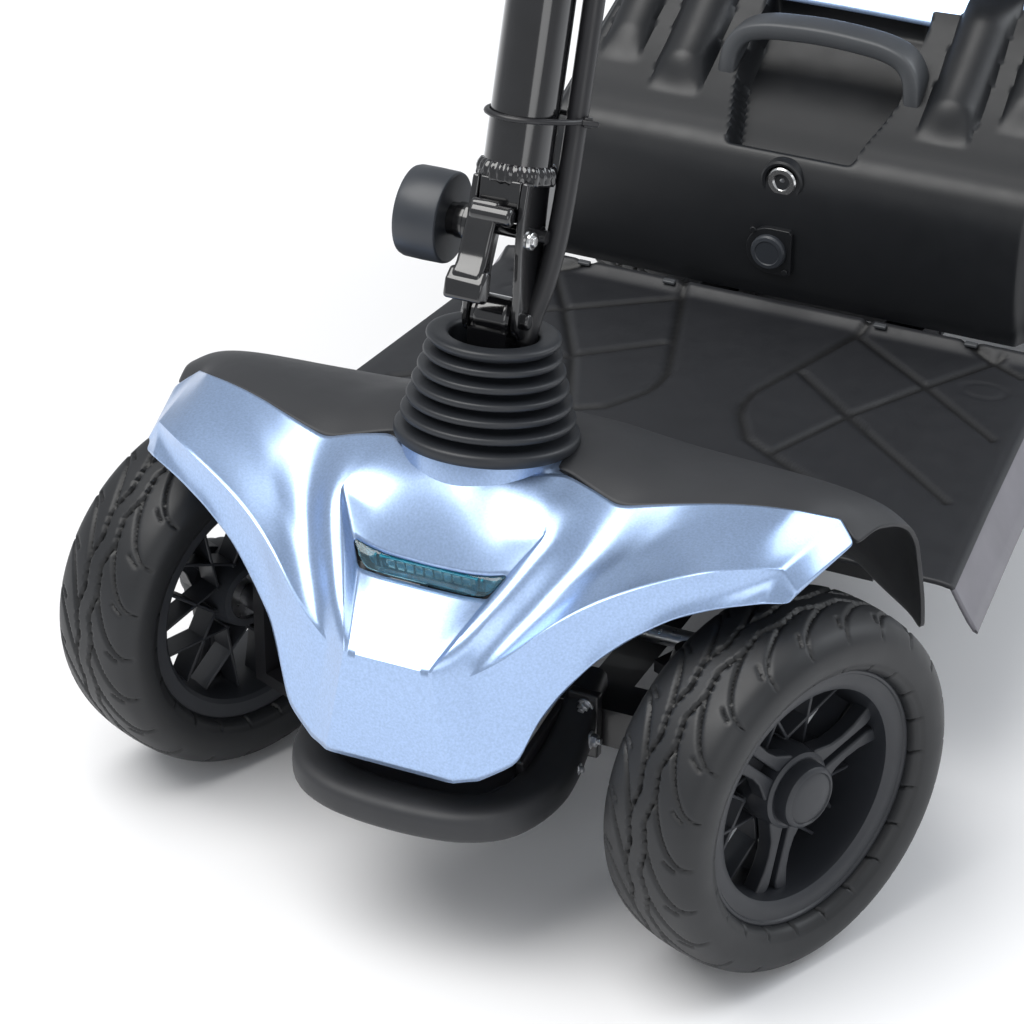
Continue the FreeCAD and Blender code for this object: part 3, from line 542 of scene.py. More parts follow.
full = mirrored(fairing_rows)
width = 2 * COLS - 1
lamp_cells = [(LAMP_ROW, j) for j in range(COLS - 1 - 3, COLS - 1 + 3)]
fairing = mesh_from("fairing", [p for row in full for p in row], grid_faces(len(full), width,
        skip=lamp_cells))
column = lambda j: [row[j] for row in fairing_rows]
crease_lines(fairing, mirror_lines([fairing_rows[6]]), 0.62)
crease_lines(fairing, mirror_lines([fairing_rows[8], fairing_rows[0]]), 0.9)
crease_lines(fairing, mirror_lines([column(3)[2:7], column(4)[2:7]]), 0.85)
crease_lines(fairing, mirror_lines([fairing_rows[LAMP_ROW][:4], fairing_rows[LAMP_ROW + 1][:4],
        fairing_rows[2][2:5]]), 0.9)
crease_lines(fairing, mirror_lines([column(4)[6:], column(6)[6:]]), 0.8)
crease_lines(fairing, mirror_lines([column(-1)]), 0.85)
crease_lines(fairing, mirror_lines([column(-2)]), 0.55)
thicken(fairing, 2.6, levels=3)
keep(fairing, BLUE, "root", ["front_fairing"], sharp=60)

column_turn = Vector((0, math.sin(LEAN_COLUMN), math.cos(LEAN_COLUMN)))
boot_place = axis_place(COLUMN, column_turn)
collar = lathe("boot_collar", [(-22, 46.5), (-22, 49.5), (-10, 49.3), (-2.2, 48.2), (-1.0, 46.0), (-2.2,
        44.5), (-22, 44.0)],
               boot_place, steps=96, closed=True)
keep(collar, BLUE, "root")

# ------------------------------------------------------------------ cowl behind the fairing
cowl_seam = [tuple(p + np.array([0, 1.2, -1.2])) for p in np.vstack([respace(SEAM, 6), [(222, -393, 256)]])]
cowl_rows = [
    [(0, -429, 284), (26, -430, 284), (50, -429, 283), (58, -428, 281), (77, -435, 277.5)] + cowl_seam,
    [(0, -402, 284), (26, -402, 284), (50, -406, 285), (64, -412, 286), (82, -416, 283), (100, -418, 281),
     (121, -414, 281), (143, -405, 281), (166, -396, 281), (190, -386, 278), (213, -370, 267), (227, -371,
     257)],
    [(0, -372, 281), (26, -372, 282), (50, -376, 284), (64, -382, 287), (82, -388, 284), (100, -388, 279),
     (121, -384, 279), (143, -377, 278), (166, -370, 277), (192, -362, 273), (219, -350, 261), (233, -351,
     250)],
    [(0, -350, 275), (26, -350, 276), (50, -352, 277), (64, -356, 278), (82, -358, 275), (103, -356, 271),
     (124, -354, 270), (145, -350, 268), (168, -346, 265), (194, -341, 260), (222, -333, 249), (236, -337,
     240)],
    [(0, -338, 266), (26, -338, 266.5), (50, -338, 267), (64, -339, 267), (82, -340, 266), (103, -340, 264),
     (124, -338, 262), (145, -336, 259), (168, -333, 256), (193, -328, 250), (221, -320, 237), (237.5, -328,
     226)],
    [(0, -333, 250), (26, -333, 250), (50, -332, 250), (66, -331, 250), (86, -329, 249), (106, -326, 247),
     (126, -321, 243), (147, -316, 240), (170, -312, 236), (194, -310, 230), (222, -309, 218), (238, -322,
     207)],
    [(0, -324, 200), (26, -324, 200), (50, -322, 200), (68, -316, 200), (88, -306, 199), (108, -295, 197),
     (128, -284, 195), (149, -277, 192), (172, -276, 189), (196, -291, 186), (224, -299, 182), (237.5, -311,
     178)],
    [(0, -318, 157), (26, -318, 157), (50, -316, 157), (68, -308, 157), (88, -294, 157), (108, -276, 157),
     (128, -262, 157), (149, -250, 157), (172, -250, 157), (194, -268, 155), (224, -289, 152), (235.5, -301,
     149)],
]
full = mirrored(cowl_rows)
width = 2 * len(cowl_rows[0]) - 1
middle = (width - 1) // 2
cowl = mesh_from("cowl", [p for row in full for p in row],
                 grid_faces(len(full), width, skip=[(0, middle - 2), (0, middle - 1), (0, middle), (0,
                 middle + 1)]))
crease_lines(cowl, mirror_lines([cowl_rows[0], cowl_rows[-1], [row[-1] for row in cowl_rows]]), 0.8)
crease_lines(cowl, mirror_lines([cowl_rows[4]]), 0.35)
thicken(cowl, 2.6, levels=3)
keep(cowl, MOULDED, "root", ["front_cowl"], sharp=60)

# ------------------------------------------------------------------ bellows boot
bellows = [(-3.0, 46.0), (-4.6, 50.0), (-3.8, 53.4), (-1.0, 54.6), (2.4, 54.2), (3.8, 51.6), (4.6, 47.0),
        (5.6, 44.4)]
RIDGES = 6
for k in range(1, RIDGES):
    level = 9.3 * k
    crest_r = 54.0 - 2.7 * k
    bellows += [(level - 1.9, crest_r - 9.6), (level - 1.0, crest_r - 6.0), (level - 0.2, crest_r - 1.2),
            (level + 0.9, crest_r),
                (level + 2.8, crest_r), (level + 3.9, crest_r - 1.2), (level + 4.7, crest_r - 6.0),
                (level + 5.6, crest_r - 9.6)]
bellows += [(54.5, 36.5), (56.5, 38.8), (58.5, 39.5), (60.2, 38.6), (61.0, 35.5), (60.8, 30.5), (60.0,
        27.5), (57.5, 26.2),
            (50.0, 27.0), (40.0, 29.0)]
profile = smooth_line([(a, b) for a, b in bellows], 330)
boot = lathe("bellows_boot", [tuple(p) for p in profile], boot_place, steps=128)
keep(boot, RUBBER, "root", ["steering_boot"], sharp=75)

# ------------------------------------------------------------------ tyres
TREAD = 22


def tyre_mesh(name, place, rings=560, across=92):
    edge = [(-28.5, 81.4), (-32.5, 83.0), (-36.2, 88.5), (-37.5, 96.0), (-36.0, 103.5), (-30.5, 109.8),
            (-21.5, 113.2),
            (-10.5, 114.7), (0, 115.0)]
    edge = edge + [(-x, r) for x, r in reversed(edge[:-1])]
    line = smooth_line(edge, across)
    step = np.gradient(line, axis=0)
    step /= np.linalg.norm(step, axis=1)[:, None]
    normal = np.stack([-step[:, 1], step[:, 0]], axis=1)
    if normal[across // 2, 1] < 0:
        normal = -normal
    turn = np.linspace(0, 2 * math.pi, rings, endpoint=False)[:, None]
    x = line[:, 0][None, :]
    period = 2 * math.pi / TREAD
    depth = np.zeros((rings, across))

    def groove(distance, half, deep):
        return deep * np.clip(1.35 - np.abs(distance) / half, 0, 1)

    wave = np.arcsin(np.sin(TREAD * turn)) / (math.pi / 2)
    for side in (-1, 1):
        depth = np.maximum(depth, groove(x - side * 6.2 - 1.9 * wave, 1.25, 2.8))
        reach = np.clip((side * x - 8.0) / 28.0, 0, 1)
        sweep_by = 1.15 * (1 - (1 - reach) ** 1.9)
        base = turn / period - (0.25 if side > 0 else -0.25) + side * sweep_by
        off = (base - np.round(base)) * period * TYRE_RADIUS
        slope = 1.15 * 1.9 * (1 - reach) ** 0.9 / 28.0 * period * TYRE_RADIUS
        off = off / np.sqrt(1 + slope ** 2)
        inside = (side * x > 7.0) & (side * x < 35.6)
        depth = np.maximum(depth, np.where(inside, groove(off, 1.25 - 0.35 * reach, 2.5 - 1.3 * reach), 0))
        dash = (turn / period - (0.25 if side > 0 else -0.25) + side * (sweep_by * 0.55 + 0.62))
        off = (dash - np.round(dash)) * period * TYRE_RADIUS
        inside = (side * x > 20.5) & (side * x < 28.5)
        depth = np.maximum(depth, np.where(inside, groove(off, 1.1, 1.6), 0))
    ring = np.minimum(np.abs(line[:, 1] - 86.5), 9)
    depth = np.maximum(depth, (0.5 * np.clip(1 - ring / 0.9, 0, 1))[None, :])
    px = line[:, 0][None, :] - depth * normal[:, 0][None, :]
    pr = line[:, 1][None, :] - depth * normal[:, 1][None, :]
    verts = np.stack([np.broadcast_to(px, (rings, across)), -pr * np.cos(turn), pr * np.sin(turn)],
            axis=2).reshape(-1, 3)
    obj = mesh_from(name, [tuple(v) for v in verts], grid_faces(rings, across, wrap_rows=True,
            wrap_cols=True), merge=0.001,
                    place=place)
    # Painted shade, partly also dirt: the groove depth is stored as the 'groove' attribute, which darkens the tyre
    # colour in the grooves.
    if len(obj.data.vertices) == depth.size:
        obj.data.attributes.new("groove", "FLOAT", "POINT").data.foreach_set("value", np.clip(depth / 2.0,
                0, 1).ravel())
    return obj


WHEELS = []
for label, side in (("left", -1), ("right", 1)):
    turn = Matrix.Rotation(-STEER, 4, "Z")
    kingpin = Vector((side * 127, FRONT_Y, AXLE_Z))
    centre = kingpin + turn @ Vector((side * 75, 0, 0))
    WHEELS.append(("front_" + label, side, Matrix.Translation(centre) @ turn))
    WHEELS.append(("rear_" + label, side, shift(side * 192, REAR_Y, AXLE_Z)))


def spoke_outline(sign):
    """One bar of a slotted spoke, in the wheel's plane: along the spoke, and across it."""
    return [(19, sign * 3.2), (24, sign * 2.6), (61, sign * 2.6), (66, sign * 4.0), (69, sign * 14.5), (64,
            sign * 13.0),
            (52, sign * 9.8), (42, sign * 9.0), (33, sign * 10.0), (27, sign * 12.5), (20, sign * 15.5),
            (15, sign * 12)]


def hub(label, side, place):
    body = "wheel_" + label
    out = place @ Matrix.Rotation(0 if side > 0 else math.pi, 4, "Z")
    rim = [(27.2, 81.9), (28.0, 80.4), (28.0, 79.0), (26.9, 78.2), (26.6, 73.5), (25.6, 70.0), (23.6, 67.4),
            (19.0, 66.6),
           (8.0, 66.0), (-6.0, 65.6), (-18.0, 67.0), (-25.0, 69.5), (-27.0, 72.0), (-28.0, 80.4), (-27.2,
           81.9), (0, 81.0)]
    barrel = lathe("rim_" + label, rim, out, steps=112, closed=True)
    keep(barrel, HUB, body, ["hub_" + label], sharp=28)
    work = bmesh.new()
    for k in range(3):
        aim = math.radians(15 + 120 * k) if side > 0 else math.radians(165 - 120 * k)
        for sign in (-1, 1):
            base = shift(9.5, 0, 0) @ Matrix.Rotation(aim, 4, "X") @ SIDE_PLANE
            prism(work, spoke_outline(sign), 11, base)
        plate = shift(3.4, 0, 0) @ Matrix.Rotation(aim, 4, "X") @ SIDE_PLANE
        prism(work, [(16, -4), (67, -4), (67, 4), (16, 4)], 2.6, plate)
    work.transform(out)
    keep(finish_solid("spokes_" + label, work, bevel=1.6, segments=3), HUB, body)
    ring = [(16.5, 16.2), (17.5, 22.0), (16.0, 24.2), (4.0, 25.5), (-12.0, 23.5), (-21.5, 21.0), (-22.0,
            16.3)]
    keep(lathe("boss_" + label, ring, out, steps=64, closed=True), HUB, body, sharp=28)
    cap = [(17.6, 20.4), (22.5, 20.2), (26.0, 19.4), (27.6, 17.8), (27.9, 16.6), (27.1, 16.0), (27.5, 15.2),
            (28.3, 12.0),
           (28.8, 6.0), (29.0, 0.01)]
    nodes = ["hub_cap_" + label] if "front" in label else []
    keep(lathe("cap_" + label, cap, out, steps=72), HUB, body, nodes, sharp=32)
    work = bmesh.new()
    for k in range(9):
        aim = 2 * math.pi * (k + 0.25) / 9
        for twist in (-0.42, 0.42):
            a = Vector((-9, 24 * math.cos(aim - twist), 24 * math.sin(aim - twist)))
            b = Vector((-9, 67 * math.cos(aim + twist * 0.5), 67 * math.sin(aim + twist * 0.5)))
            middle = (a + b) / 2
            way = (b - a)
            turn = Matrix.Rotation(math.atan2(way.z, way.y), 4, "X")
            box_mesh(work, (16, way.length, 2.2), Matrix.Translation(middle) @ turn)
    work.transform(out)
    keep(finish_solid("ribs_" + label, work, bevel=0.5, segments=1), HUB, body)


for label, side, place in WHEELS:
    tyre = tyre_mesh("tread_" + label, place)
    keep(tyre, TYRE, "wheel_" + label, ["tyre_" + label], sharp=50)
    hub(label, side, place)
# ------------------------------------------------------------------ head lamp
lamp_top = [(0, -496, 241), (13, -495.8, 241.2), (26, -495.5, 241.5), (39, -494, 243), (49, -492.7, 246),
        (57, -484.5, 256)]
lamp_low = [(0, -500, 229), (13, -500.2, 229.2), (24, -500.5, 229.5), (34, -501.5, 231), (40.5, -503, 233),
        (55, -486.5, 252)]


def strip(name, top, low, back, thick, rows=5):
    """A strip between two edges, mirrored in the middle plane, set back and given thickness."""
    top = mirrored([top])[0]
    low = mirrored([low])[0]
    verts = []
    for r in range(rows):
        share = r / (rows - 1)
        belly = 1.6 * math.sin(math.pi * share)
        for a, b in zip(top, low):
            p = Vector(a) * (1 - share) + Vector(b) * share
            verts.append(p + Vector((0, back - belly, -0.3 * back)))
    obj = mesh_from(name, verts, grid_faces(rows, len(top)))
    add = obj.modifiers.new("wall", "SOLIDIFY")
    add.thickness = thick * MM
    smooth = obj.modifiers.new("smooth", "SUBSURF")
    smooth.levels = smooth.render_levels = 2
    return obj


keep(strip("lamp_lens", lamp_top, lamp_low, 1.8, 1.2), LENS, "root", ["light_lens"])
tray_top = [(x * 0.97, y + 8, z + 1.5) for x, y, z in lamp_top]
tray_low = [(x * 0.97, y + 8, z - 1.5) for x, y, z in lamp_low]
keep(strip("lamp_tray", tray_top, tray_low, 1.0, 2.0), TEAL, "root", ["light_housing"])
work = bmesh.new()
for k in range(9):
    x = -24 + 6 * k
    box_mesh(work, (4.9, 2.2, 7.2), shift(x, -493.0 - 0.5, 235.2) @ Matrix.Rotation(0.3, 4, "X"))
box_mesh(work, (58, 1.6, 9.6), shift(0, -491.2, 235.0) @ Matrix.Rotation(0.3, 4, "X"))
keep(finish_solid("lamp_leds", work, bevel=0.5), LED, "root", ["light_board"])
work = bmesh.new()
for x in (-34, -30.5, 30.5, 34):
    box_mesh(work, (1.6, 3.0, 9.5), shift(x, -493.2, 235.5) @ Matrix.Rotation(0.3, 4, "X"))
for x in range(-24, 25, 8):
    box_mesh(work, (1.2, 3.4, 1.8), shift(x, -494.0, 239.6) @ Matrix.Rotation(0.3, 4, "X"))
box_mesh(work, (62, 2.6, 0.9), shift(0, -494.6, 239.4) @ Matrix.Rotation(0.3, 4, "X"))
box_mesh(work, (62, 2.6, 0.9), shift(0, -496.4, 230.6) @ Matrix.Rotation(0.3, 4, "X"))
keep(finish_solid("lamp_ribs", work, bevel=0.3), TEAL, "root")

# ------------------------------------------------------------------ bumper and its arms
path = [(-64, -404, 128), (-66, -424, 124), (-70, -452, 113), (-71, -480, 106), (-68, -506, 104), (-58,
        -526, 103),
        (-40, -537, 103), (-20, -541, 103), (0, -542, 103)]
path = path + [(-x, y, z) for x, y, z in reversed(path[:-1])]
line = smooth_line(path, 72)
verts = []
for i, p in enumerate(line):
    way = Vector(line[min(i + 1, 71)] - line[max(i - 1, 0)]).normalized()
    side = way.cross(Vector((0, 0, 1))).normalized()
    rise = side.cross(way)
    share = min(1.0, min(i, 71 - i) / 16)
    wide, tall = 9 + 6 * share, 9.5 + 1.3 * share
    for k in range(24):
        turn = 2 * math.pi * k / 24
        c, s = math.cos(turn), math.sin(turn)
        c = math.copysign(abs(c) ** 0.62, c)
        s = math.copysign(abs(s) ** 0.62, s)
        verts.append(Vector(p) + side * c * wide + rise * s * tall)
bumper = mesh_from("bumper_bar", verts, grid_faces(72, 24, wrap_cols=True) + [tuple(range(24)),
        tuple(range(71 * 24, 72 * 24))],
                   merge=0.001)
keep(bumper, MOULDED, "root", ["front_bumper"], sharp=60)
work = bmesh.new()
prism(work, [(-56, -500), (-46, -522), (-26, -531), (26, -531), (46, -522), (56, -500), (50, -470), (-50,
        -470)], 5,
      shift(0, 0, 108))
for side in (-1, 1):
    box_mesh(work, (20, 7, 44), shift(side * 70, -430, 114))
    box_mesh(work, (5, 62, 26), shift(side * 57, -462, 112) @ Matrix.Rotation(0.14, 4, "X"))
keep(finish_solid("bumper_brackets", work, bevel=1.4, segments=3), FRAME, "root")
work = bmesh.new()
for side in (-1, 1):
    for x, y, z, way in ((81, -470, 109, (1, 0, 0)), (72, -434.5, 128, (0, -1, 0)), (72, -434.5, 102, (0,
            -1, 0)),
                         (82, -447, 115, (1, 0, 0))):
        spot = Vector((side * x, y, z))
        step = Vector((side * way[0], way[1], way[2]))
        solid_rod(work, spot - step * 3, spot + step * 0.6, 5.2, sides=32)
        solid_rod(work, spot, spot + step * 4.2, 3.9, sides=6)
        solid_rod(work, spot, spot + step * 6.5, 2.0, sides=20)
keep(finish_solid("bumper_bolts", work, bevel=0.4), ZINC, "root")

# ------------------------------------------------------------------ tiller head tube, bracket, latch and knob
tiller_frame = Matrix.Translation(PIVOT) @ Matrix.Rotation(-LEAN_TILLER, 4, "X")


def on_tiller(level, x=0, back=0):
    return tiller_frame @ Vector((x, back, level))




def side_prism(work, outline, depth, x, place=tiller_frame):
    """An outline of (back, level) points, given thickness across the scooter."""
    prism(work, outline, depth, place @ shift(x, 0, 0) @ SIDE_PLANE)


def arc_points(centre, radius, start, end, count):
    return [(centre[0] + radius * math.cos(math.radians(start + (end - start) * k / (count - 1))),
             centre[1] + radius * math.sin(math.radians(start + (end - start) * k / (count - 1)))) for k in range(count)]


plate = (arc_points((0, 0), 11.5, 200, 340, 9) + [(13, 12), (21, 52), (23, 66), (23, 82)]
         + [(-22, 82), (-23, 60), (-20, 40), (-14, 16)])
work = bmesh.new()
for side in (-1, 1):
    side_prism(work, plate, 4.4, side * 15.4)
side_prism(work, [(14, 52), (20, 52), (21, 82), (14, 82)], 26, 0)
side_prism(work, [(-21, 66), (-16, 66), (-16, 82), (-22, 82)], 26, 0)
solid_rod(work, on_tiller(80), on_tiller(87.6), 23.2, 21.6, sides=64)
solid_rod(work, on_tiller(0, -21), on_tiller(0, 21), 5, sides=32)
bracket = finish_solid("fold_bracket_plates", work, bevel=1.3, segments=3)
keep(bracket, GLOSS, "tiller", ["fold_bracket"])
weld = lathe("tube_weld", [(79.5, 22.4), (81.2, 23.0), (83.4, 22.8), (85.0, 23.2), (87.5, 22.6), (89.8,
        21.2), (90.5, 19.9),
                           (79.0, 20.0)], Matrix.Translation(PIVOT) @ Matrix.Rotation(-LEAN_TILLER, 4, "X")
             @ X_TO_Z, steps=160, closed=True)
for vert in weld.data.vertices:
    local = tiller_frame.inverted() @ (vert.co / MM)
    turn = math.atan2(local.y, local.x)
    scallop = 1 + 0.02 * math.sin(turn * 26) + 0.012 * math.sin(turn * 9 + 1)
    if math.hypot(local.x, local.y) > 21:
        vert.co = (tiller_frame @ Vector((local.x * scallop, local.y * scallop,
                local.z + 0.6 * math.sin(turn * 26 + 1)))) * MM
keep(weld, GLOSS, "tiller", sharp=80)
work = bmesh.new()
for side in (-1, 1):
    start = on_tiller(48, side * 17.4, -9)
    step = Vector((side, 0, 0))
    solid_rod(work, start, start + step * 2.4, 6.0, 5.4, sides=32)
    solid_rod(work, start + step * 2.0, start + step * 4.0, 3.6, sides=6)
keep(finish_solid("plate_bolts", work, bevel=0.5), STEEL, "tiller")
work = bmesh.new()
for side in (-1, 1):
    start = on_tiller(50, side * 17.2, 7.5)
    solid_rod(work, start, start + Vector((side * 0.7, 0, 0)), 5.0, sides=32)
keep(finish_solid("plate_slots", work, bevel=0.2), CABLE, "tiller")

latch_outline = [(-25, 70), (-21, 66), (-22, 58), (-27, 48), (-28, 40), (-28, 26), (-26, 17), (-32, 15),
        (-40, 17), (-43, 22),
                 (-42, 29), (-38, 34), (-36, 42), (-34, 52), (-31, 62), (-29, 69)]
work = bmesh.new()
side_prism(work, latch_outline, 18, -5)
latch_pin = on_tiller(62, 0, -27.5)
solid_rod(work, latch_pin + Vector((-12.9, 0, 0)), latch_pin + Vector((12.9, 0, 0)), 5.6, sides=32)
side_prism(work, [(-44, 13), (-34, 11), (-30, 16), (-32, 30), (-38, 31), (-44, 24)], 24, -5)
keep(finish_solid("latch_casting", work, bevel=2.4, segments=3), GLOSS, "latch", ["latch_lever"])

knob_axis = on_tiller(50, 0, 2)
knob_place = axis_place(knob_axis, (-1, 0, 0))
knob_profile = [(37.2, 0.01), (37.0, 12.0), (36.4, 22.0), (36.0, 25.6), (36.6, 26.6), (38.0, 27.0), (50.0,
        27.2), (60.5, 27.0),
                (62.8, 26.2), (63.6, 24.6), (63.2, 23.4), (62.4, 22.6), (62.0, 12.0), (61.8, 0.01)]
keep(lathe("knob_disc", knob_profile, knob_place, steps=96), KNOB, "knob", ["clamp_knob"],
        sharp=32)
shaft = [(-23.5, 0.01), (-23.5, 4.0), (18.4, 4.0), (18.6, 11.0), (19.4, 12.4), (25.5, 12.6), (26.2, 11.8),
        (26.6, 10.8),
         (32.0, 10.6), (32.6, 9.8), (37.0, 9.6), (37.4, 0.01)]
keep(lathe("knob_shaft", shaft, knob_place, steps=64), GLOSS, "knob", sharp=28)

keep(lathe("tiller_main_tube", [(88.5, 19.0), (89.2, 20.0), (469.5, 20.0), (470, 19.4), (470, 17.6), (88.5,
        17.6)],
           Matrix.Translation(PIVOT) @ Matrix.Rotation(-LEAN_TILLER, 4, "X") @ X_TO_Z, steps=96,
           closed=True), GLOSS, "tiller", ["tiller_tube"], sharp=28)
conduit_line = smooth_line([on_tiller(level, x, back) for level, x, back in (
    (-16, 15.5, 9), (2, 17.5, 10.5), (20, 21.5, 12), (44, 24.6, 13), (80, 26.2, 13.5), (140, 26.7, 13.5),
    (260, 26.7, 13.5),
    (380, 26.7, 13.5), (457, 26.7, 13.5))], 150)
conduit = sweep("conduit_tube", conduit_line, 6.4, sides=28)
conduit.data.materials.append(CABLE)
conduit.data.shade_smooth()
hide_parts("wiring_conduit")
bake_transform(conduit)
tie_ring = []
for k in range(72):
    turn = 2 * math.pi * k / 72
    x, y = 22.0 * math.cos(turn), 22.0 * math.sin(turn)
    along = x * 0.893 + y * 0.451
    reach = 13.2 * max(0.0, along / 22.0) ** 3
    tie_ring.append(on_tiller(118 + 1.5 * math.sin(turn), x + 0.893 * reach, y + 0.451 * reach))
ring_pts = tie_ring + tie_ring[:1]
tie = sweep("zip_tie", ring_pts, 1.9, sides=12, flat=0.8)
keep(tie, CABLE, "tiller", sharp=60)
work = bmesh.new()
box_mesh(work, (5, 7, 6), tiller_frame @ shift(34, 12, 118) @ Matrix.Rotation(0.46, 4, "Z"))
box_mesh(work, (10, 1.4, 3.2), tiller_frame @ shift(37, 9, 118) @ Matrix.Rotation(0.46, 4, "Z"))
keep(finish_solid("zip_tie_head", work, bevel=0.7), CABLE, "tiller")

# Rounded knuckle on top of the steering stem, inside the boot's mouth.
work = bmesh.new()
stem_side = arc_points((0, 0), 12.2, -30, 210, 17) + [(-12.4, -26), (12.4, -26)]
prism(work, stem_side, 22, Matrix.Translation(PIVOT) @ Matrix.Rotation(-LEAN_COLUMN, 4, "X") @ SIDE_PLANE)
keep(finish_solid("stem_knuckle", work, bevel=3.0, segments=4), GLOSS, "steering")

# ------------------------------------------------------------------ deck
PATTERN = [[(69, 47), (50, -12), (31, -71), (31, -88), (34, -102), (50, -131), (71, -144)],
           [(68, 30), (132, -16), (196, -66)], [(50, -33), (99, -75), (196, -154)],
           [(71, -144), (99, -75), (132, -16), (166, 40)], [(138, 47), (186, 22)],
           [(71, -144), (120, -172), (176, -196)]]


def segment_distance(px, py, a, b):
    ax, ay = a
    dx, dy = b[0] - ax, b[1] - ay
    t = np.clip(((px - ax) * dx + (py - ay) * dy) / (dx * dx + dy * dy), 0, 1)
    return np.hypot(px - ax - t * dx, py - ay - t * dy)


def deck_half(y):
    return np.interp(y, [-312, -266, -150, -32, 45], [236, 233, 219, 206, 201])


across, length = 171, 141
DECK_REAR = 45
DECK_TOP = 150.0
GROOVE_DEPTH, GROOVE_HALF_WIDTH = 2.2, 2.6
REAR_RISE, RISE_LENGTH = 6.5, 11
u = np.linspace(-1, 1, across)[None, :]
t = np.linspace(0, 1, length)[:, None]
front = -246 - 66 * np.clip(1 - (np.abs(u) * 216 - 70) / 50, 0, 1) ** 0.8
gy = front + (DECK_REAR - front) * t
gx = u * deck_half(gy)
gz = DECK_TOP + 0 * gx - 0.9 * np.clip((np.abs(u) - 0.965) / 0.035, 0, 1) ** 2
distance = np.full(gx.shape, 99.0)
for line in PATTERN:
    for a, b in zip(line, line[1:]):
        distance = np.minimum(distance, segment_distance(np.abs(gx), gy, a, b))
cut_in = np.clip(1.5 - distance / GROOVE_HALF_WIDTH, 0, 1)
gz = gz - GROOVE_DEPTH * cut_in
gz = gz + REAR_RISE * np.clip((gy - (DECK_REAR - RISE_LENGTH)) / RISE_LENGTH, 0, 1) ** 1.5
oval = np.hypot((np.abs(gx) - 169) / 15, (gy + 6) / 10)
gz = gz - 1.1 * np.clip(1 - np.abs(oval - 1) / 0.2, 0, 1)
rows = np.stack([gx, gy, gz], axis=2)
edge_l, edge_r = [], []
for drop, out in ((0.3, 2.4), (2.2, 4.4), (5.5, 6.2), (13, 10.5), (22, 16), (29, 21), (30.5, 20.5), (29,
        17)):
    for store, sign, col in ((edge_l, -1, 0), (edge_r, 1, -1)):
        edge = rows[:, col, :].copy()
        edge[:, 0] += sign * out
        edge[:, 2] -= drop
        store.append(edge)
grid = np.concatenate([np.stack(edge_l[::-1], axis=1), rows, np.stack(edge_r, axis=1)], axis=1)
deck = mesh_from("deck_tray", [tuple(v) for v in grid.reshape(-1, 3)], grid_faces(grid.shape[0],
        grid.shape[1]), merge=0.001)
# Painted shade, partly also dirt: the groove mask is stored as the 'groove' attribute, which darkens the deck colour
# in the grooves.
shade = np.zeros((grid.shape[0], grid.shape[1]))
shade[:, 8:-8] = cut_in
if len(deck.data.vertices) == shade.size:
    deck.data.attributes.new("groove", "FLOAT", "POINT").data.foreach_set("value", shade.ravel())
add_wall(deck, WALL, -1)
keep(deck, [DECK, LIP], "root", ["deck"], sharp=55)
for face in deck.data.polygons:
    if abs(face.center.x) > (deck_half(face.center.y / MM) + 4.0) * MM:
        face.material_index = 1
work = bmesh.new()
for x, y in ((78, 41), (143, 42)):
    for side in (-1, 1):
        box_mesh(work, (9, 4, 2.4), shift(side * x, y, 155.6) @ Matrix.Rotation(0.2, 4, "X"))
keep(finish_solid("deck_clips", work, bevel=0.7), GREY, "root")

# ------------------------------------------------------------------ battery pack
PROFILE = [(49, 156.5), (44.5, 170), (42.5, 190), (43.5, 215), (47.0, 238), (52.0, 252), (58.5, 262), (70,
        269),
           (90, 279), (112, 291), (130, 302), (150, 315), (168, 327), (186, 338), (198, 345), (208, 350)]
prof = smooth_line(PROFILE, 170)
tangent = np.gradient(prof, axis=0)
tangent /= np.linalg.norm(tangent, axis=1)[:, None]
out_n = np.stack([-tangent[:, 1], tangent[:, 0]], axis=1)
BATTERY_LEVELS = [156, 262, 300, 350]
BATTERY_HALVES = [177, 177, 172, 160]
half = np.interp(prof[:, 1], BATTERY_LEVELS, BATTERY_HALVES)
cols = 190
share = np.linspace(-1, 1, cols)
bx = share[None, :] * half[:, None]
y0 = prof[:, 0][:, None] + 0 * bx
z0 = prof[:, 1][:, None] + 0 * bx


def smoothstep(value):
    value = np.clip(value, 0, 1)
    return value * value * (3 - 2 * value)


RECESS_HALF, RECESS_FLARE, RECESS_DEPTH = 47, 13, 20
recess_half = RECESS_HALF + RECESS_FLARE * smoothstep((y0 - 58) / 60)
sunk = RECESS_DEPTH * smoothstep((recess_half - np.abs(bx)) / 6) * smoothstep((y0 - 57) / 8) * smoothstep((176 - y0) / 14)
sunk = np.where(z0 > 250, sunk, 0)
finger = np.zeros_like(bx)
for cx, top_w, low_y, height in ((-98, 19, 84, 14), (98, 19, 84, 14), (-146, 15, 100, 8), (146, 15, 100,
        8)):
    across_d = (bx - cx) / top_w
    rise = smoothstep((y0 - low_y) / 26) * smoothstep((205 - y0) / 40)
    finger = np.maximum(finger, height * rise * np.clip(1 - across_d ** 2, 0, 1) ** 0.6)
shape = finger - sunk
edge_round = 6 * smoothstep((np.abs(share)[None, :] - 0.955) / 0.045) ** 1.6
shape = shape - edge_round
py = prof[:, 0][:, None] + out_n[:, 0][:, None] * shape
pz = prof[:, 1][:, None] + out_n[:, 1][:, None] * shape
front_grid = np.stack([bx, py, pz], axis=2)
bands = [front_grid]
for y in (212, 217, 220, 222):
    top = front_grid[-1].copy()
    top[:, 1] = y
    top[:, 2] = 350 - (0 if y < 220 else 3)
    bands.append(top[None])
back = bands[-1][0].copy()
for z in (330, 262, 200, 160):
    row = back.copy()
    row[:, 1] = 222
    row[:, 2] = z
    row[:, 0] = share * np.interp(z, BATTERY_LEVELS, BATTERY_HALVES)
    bands.append(row[None])
grid = np.concatenate(bands, axis=0)
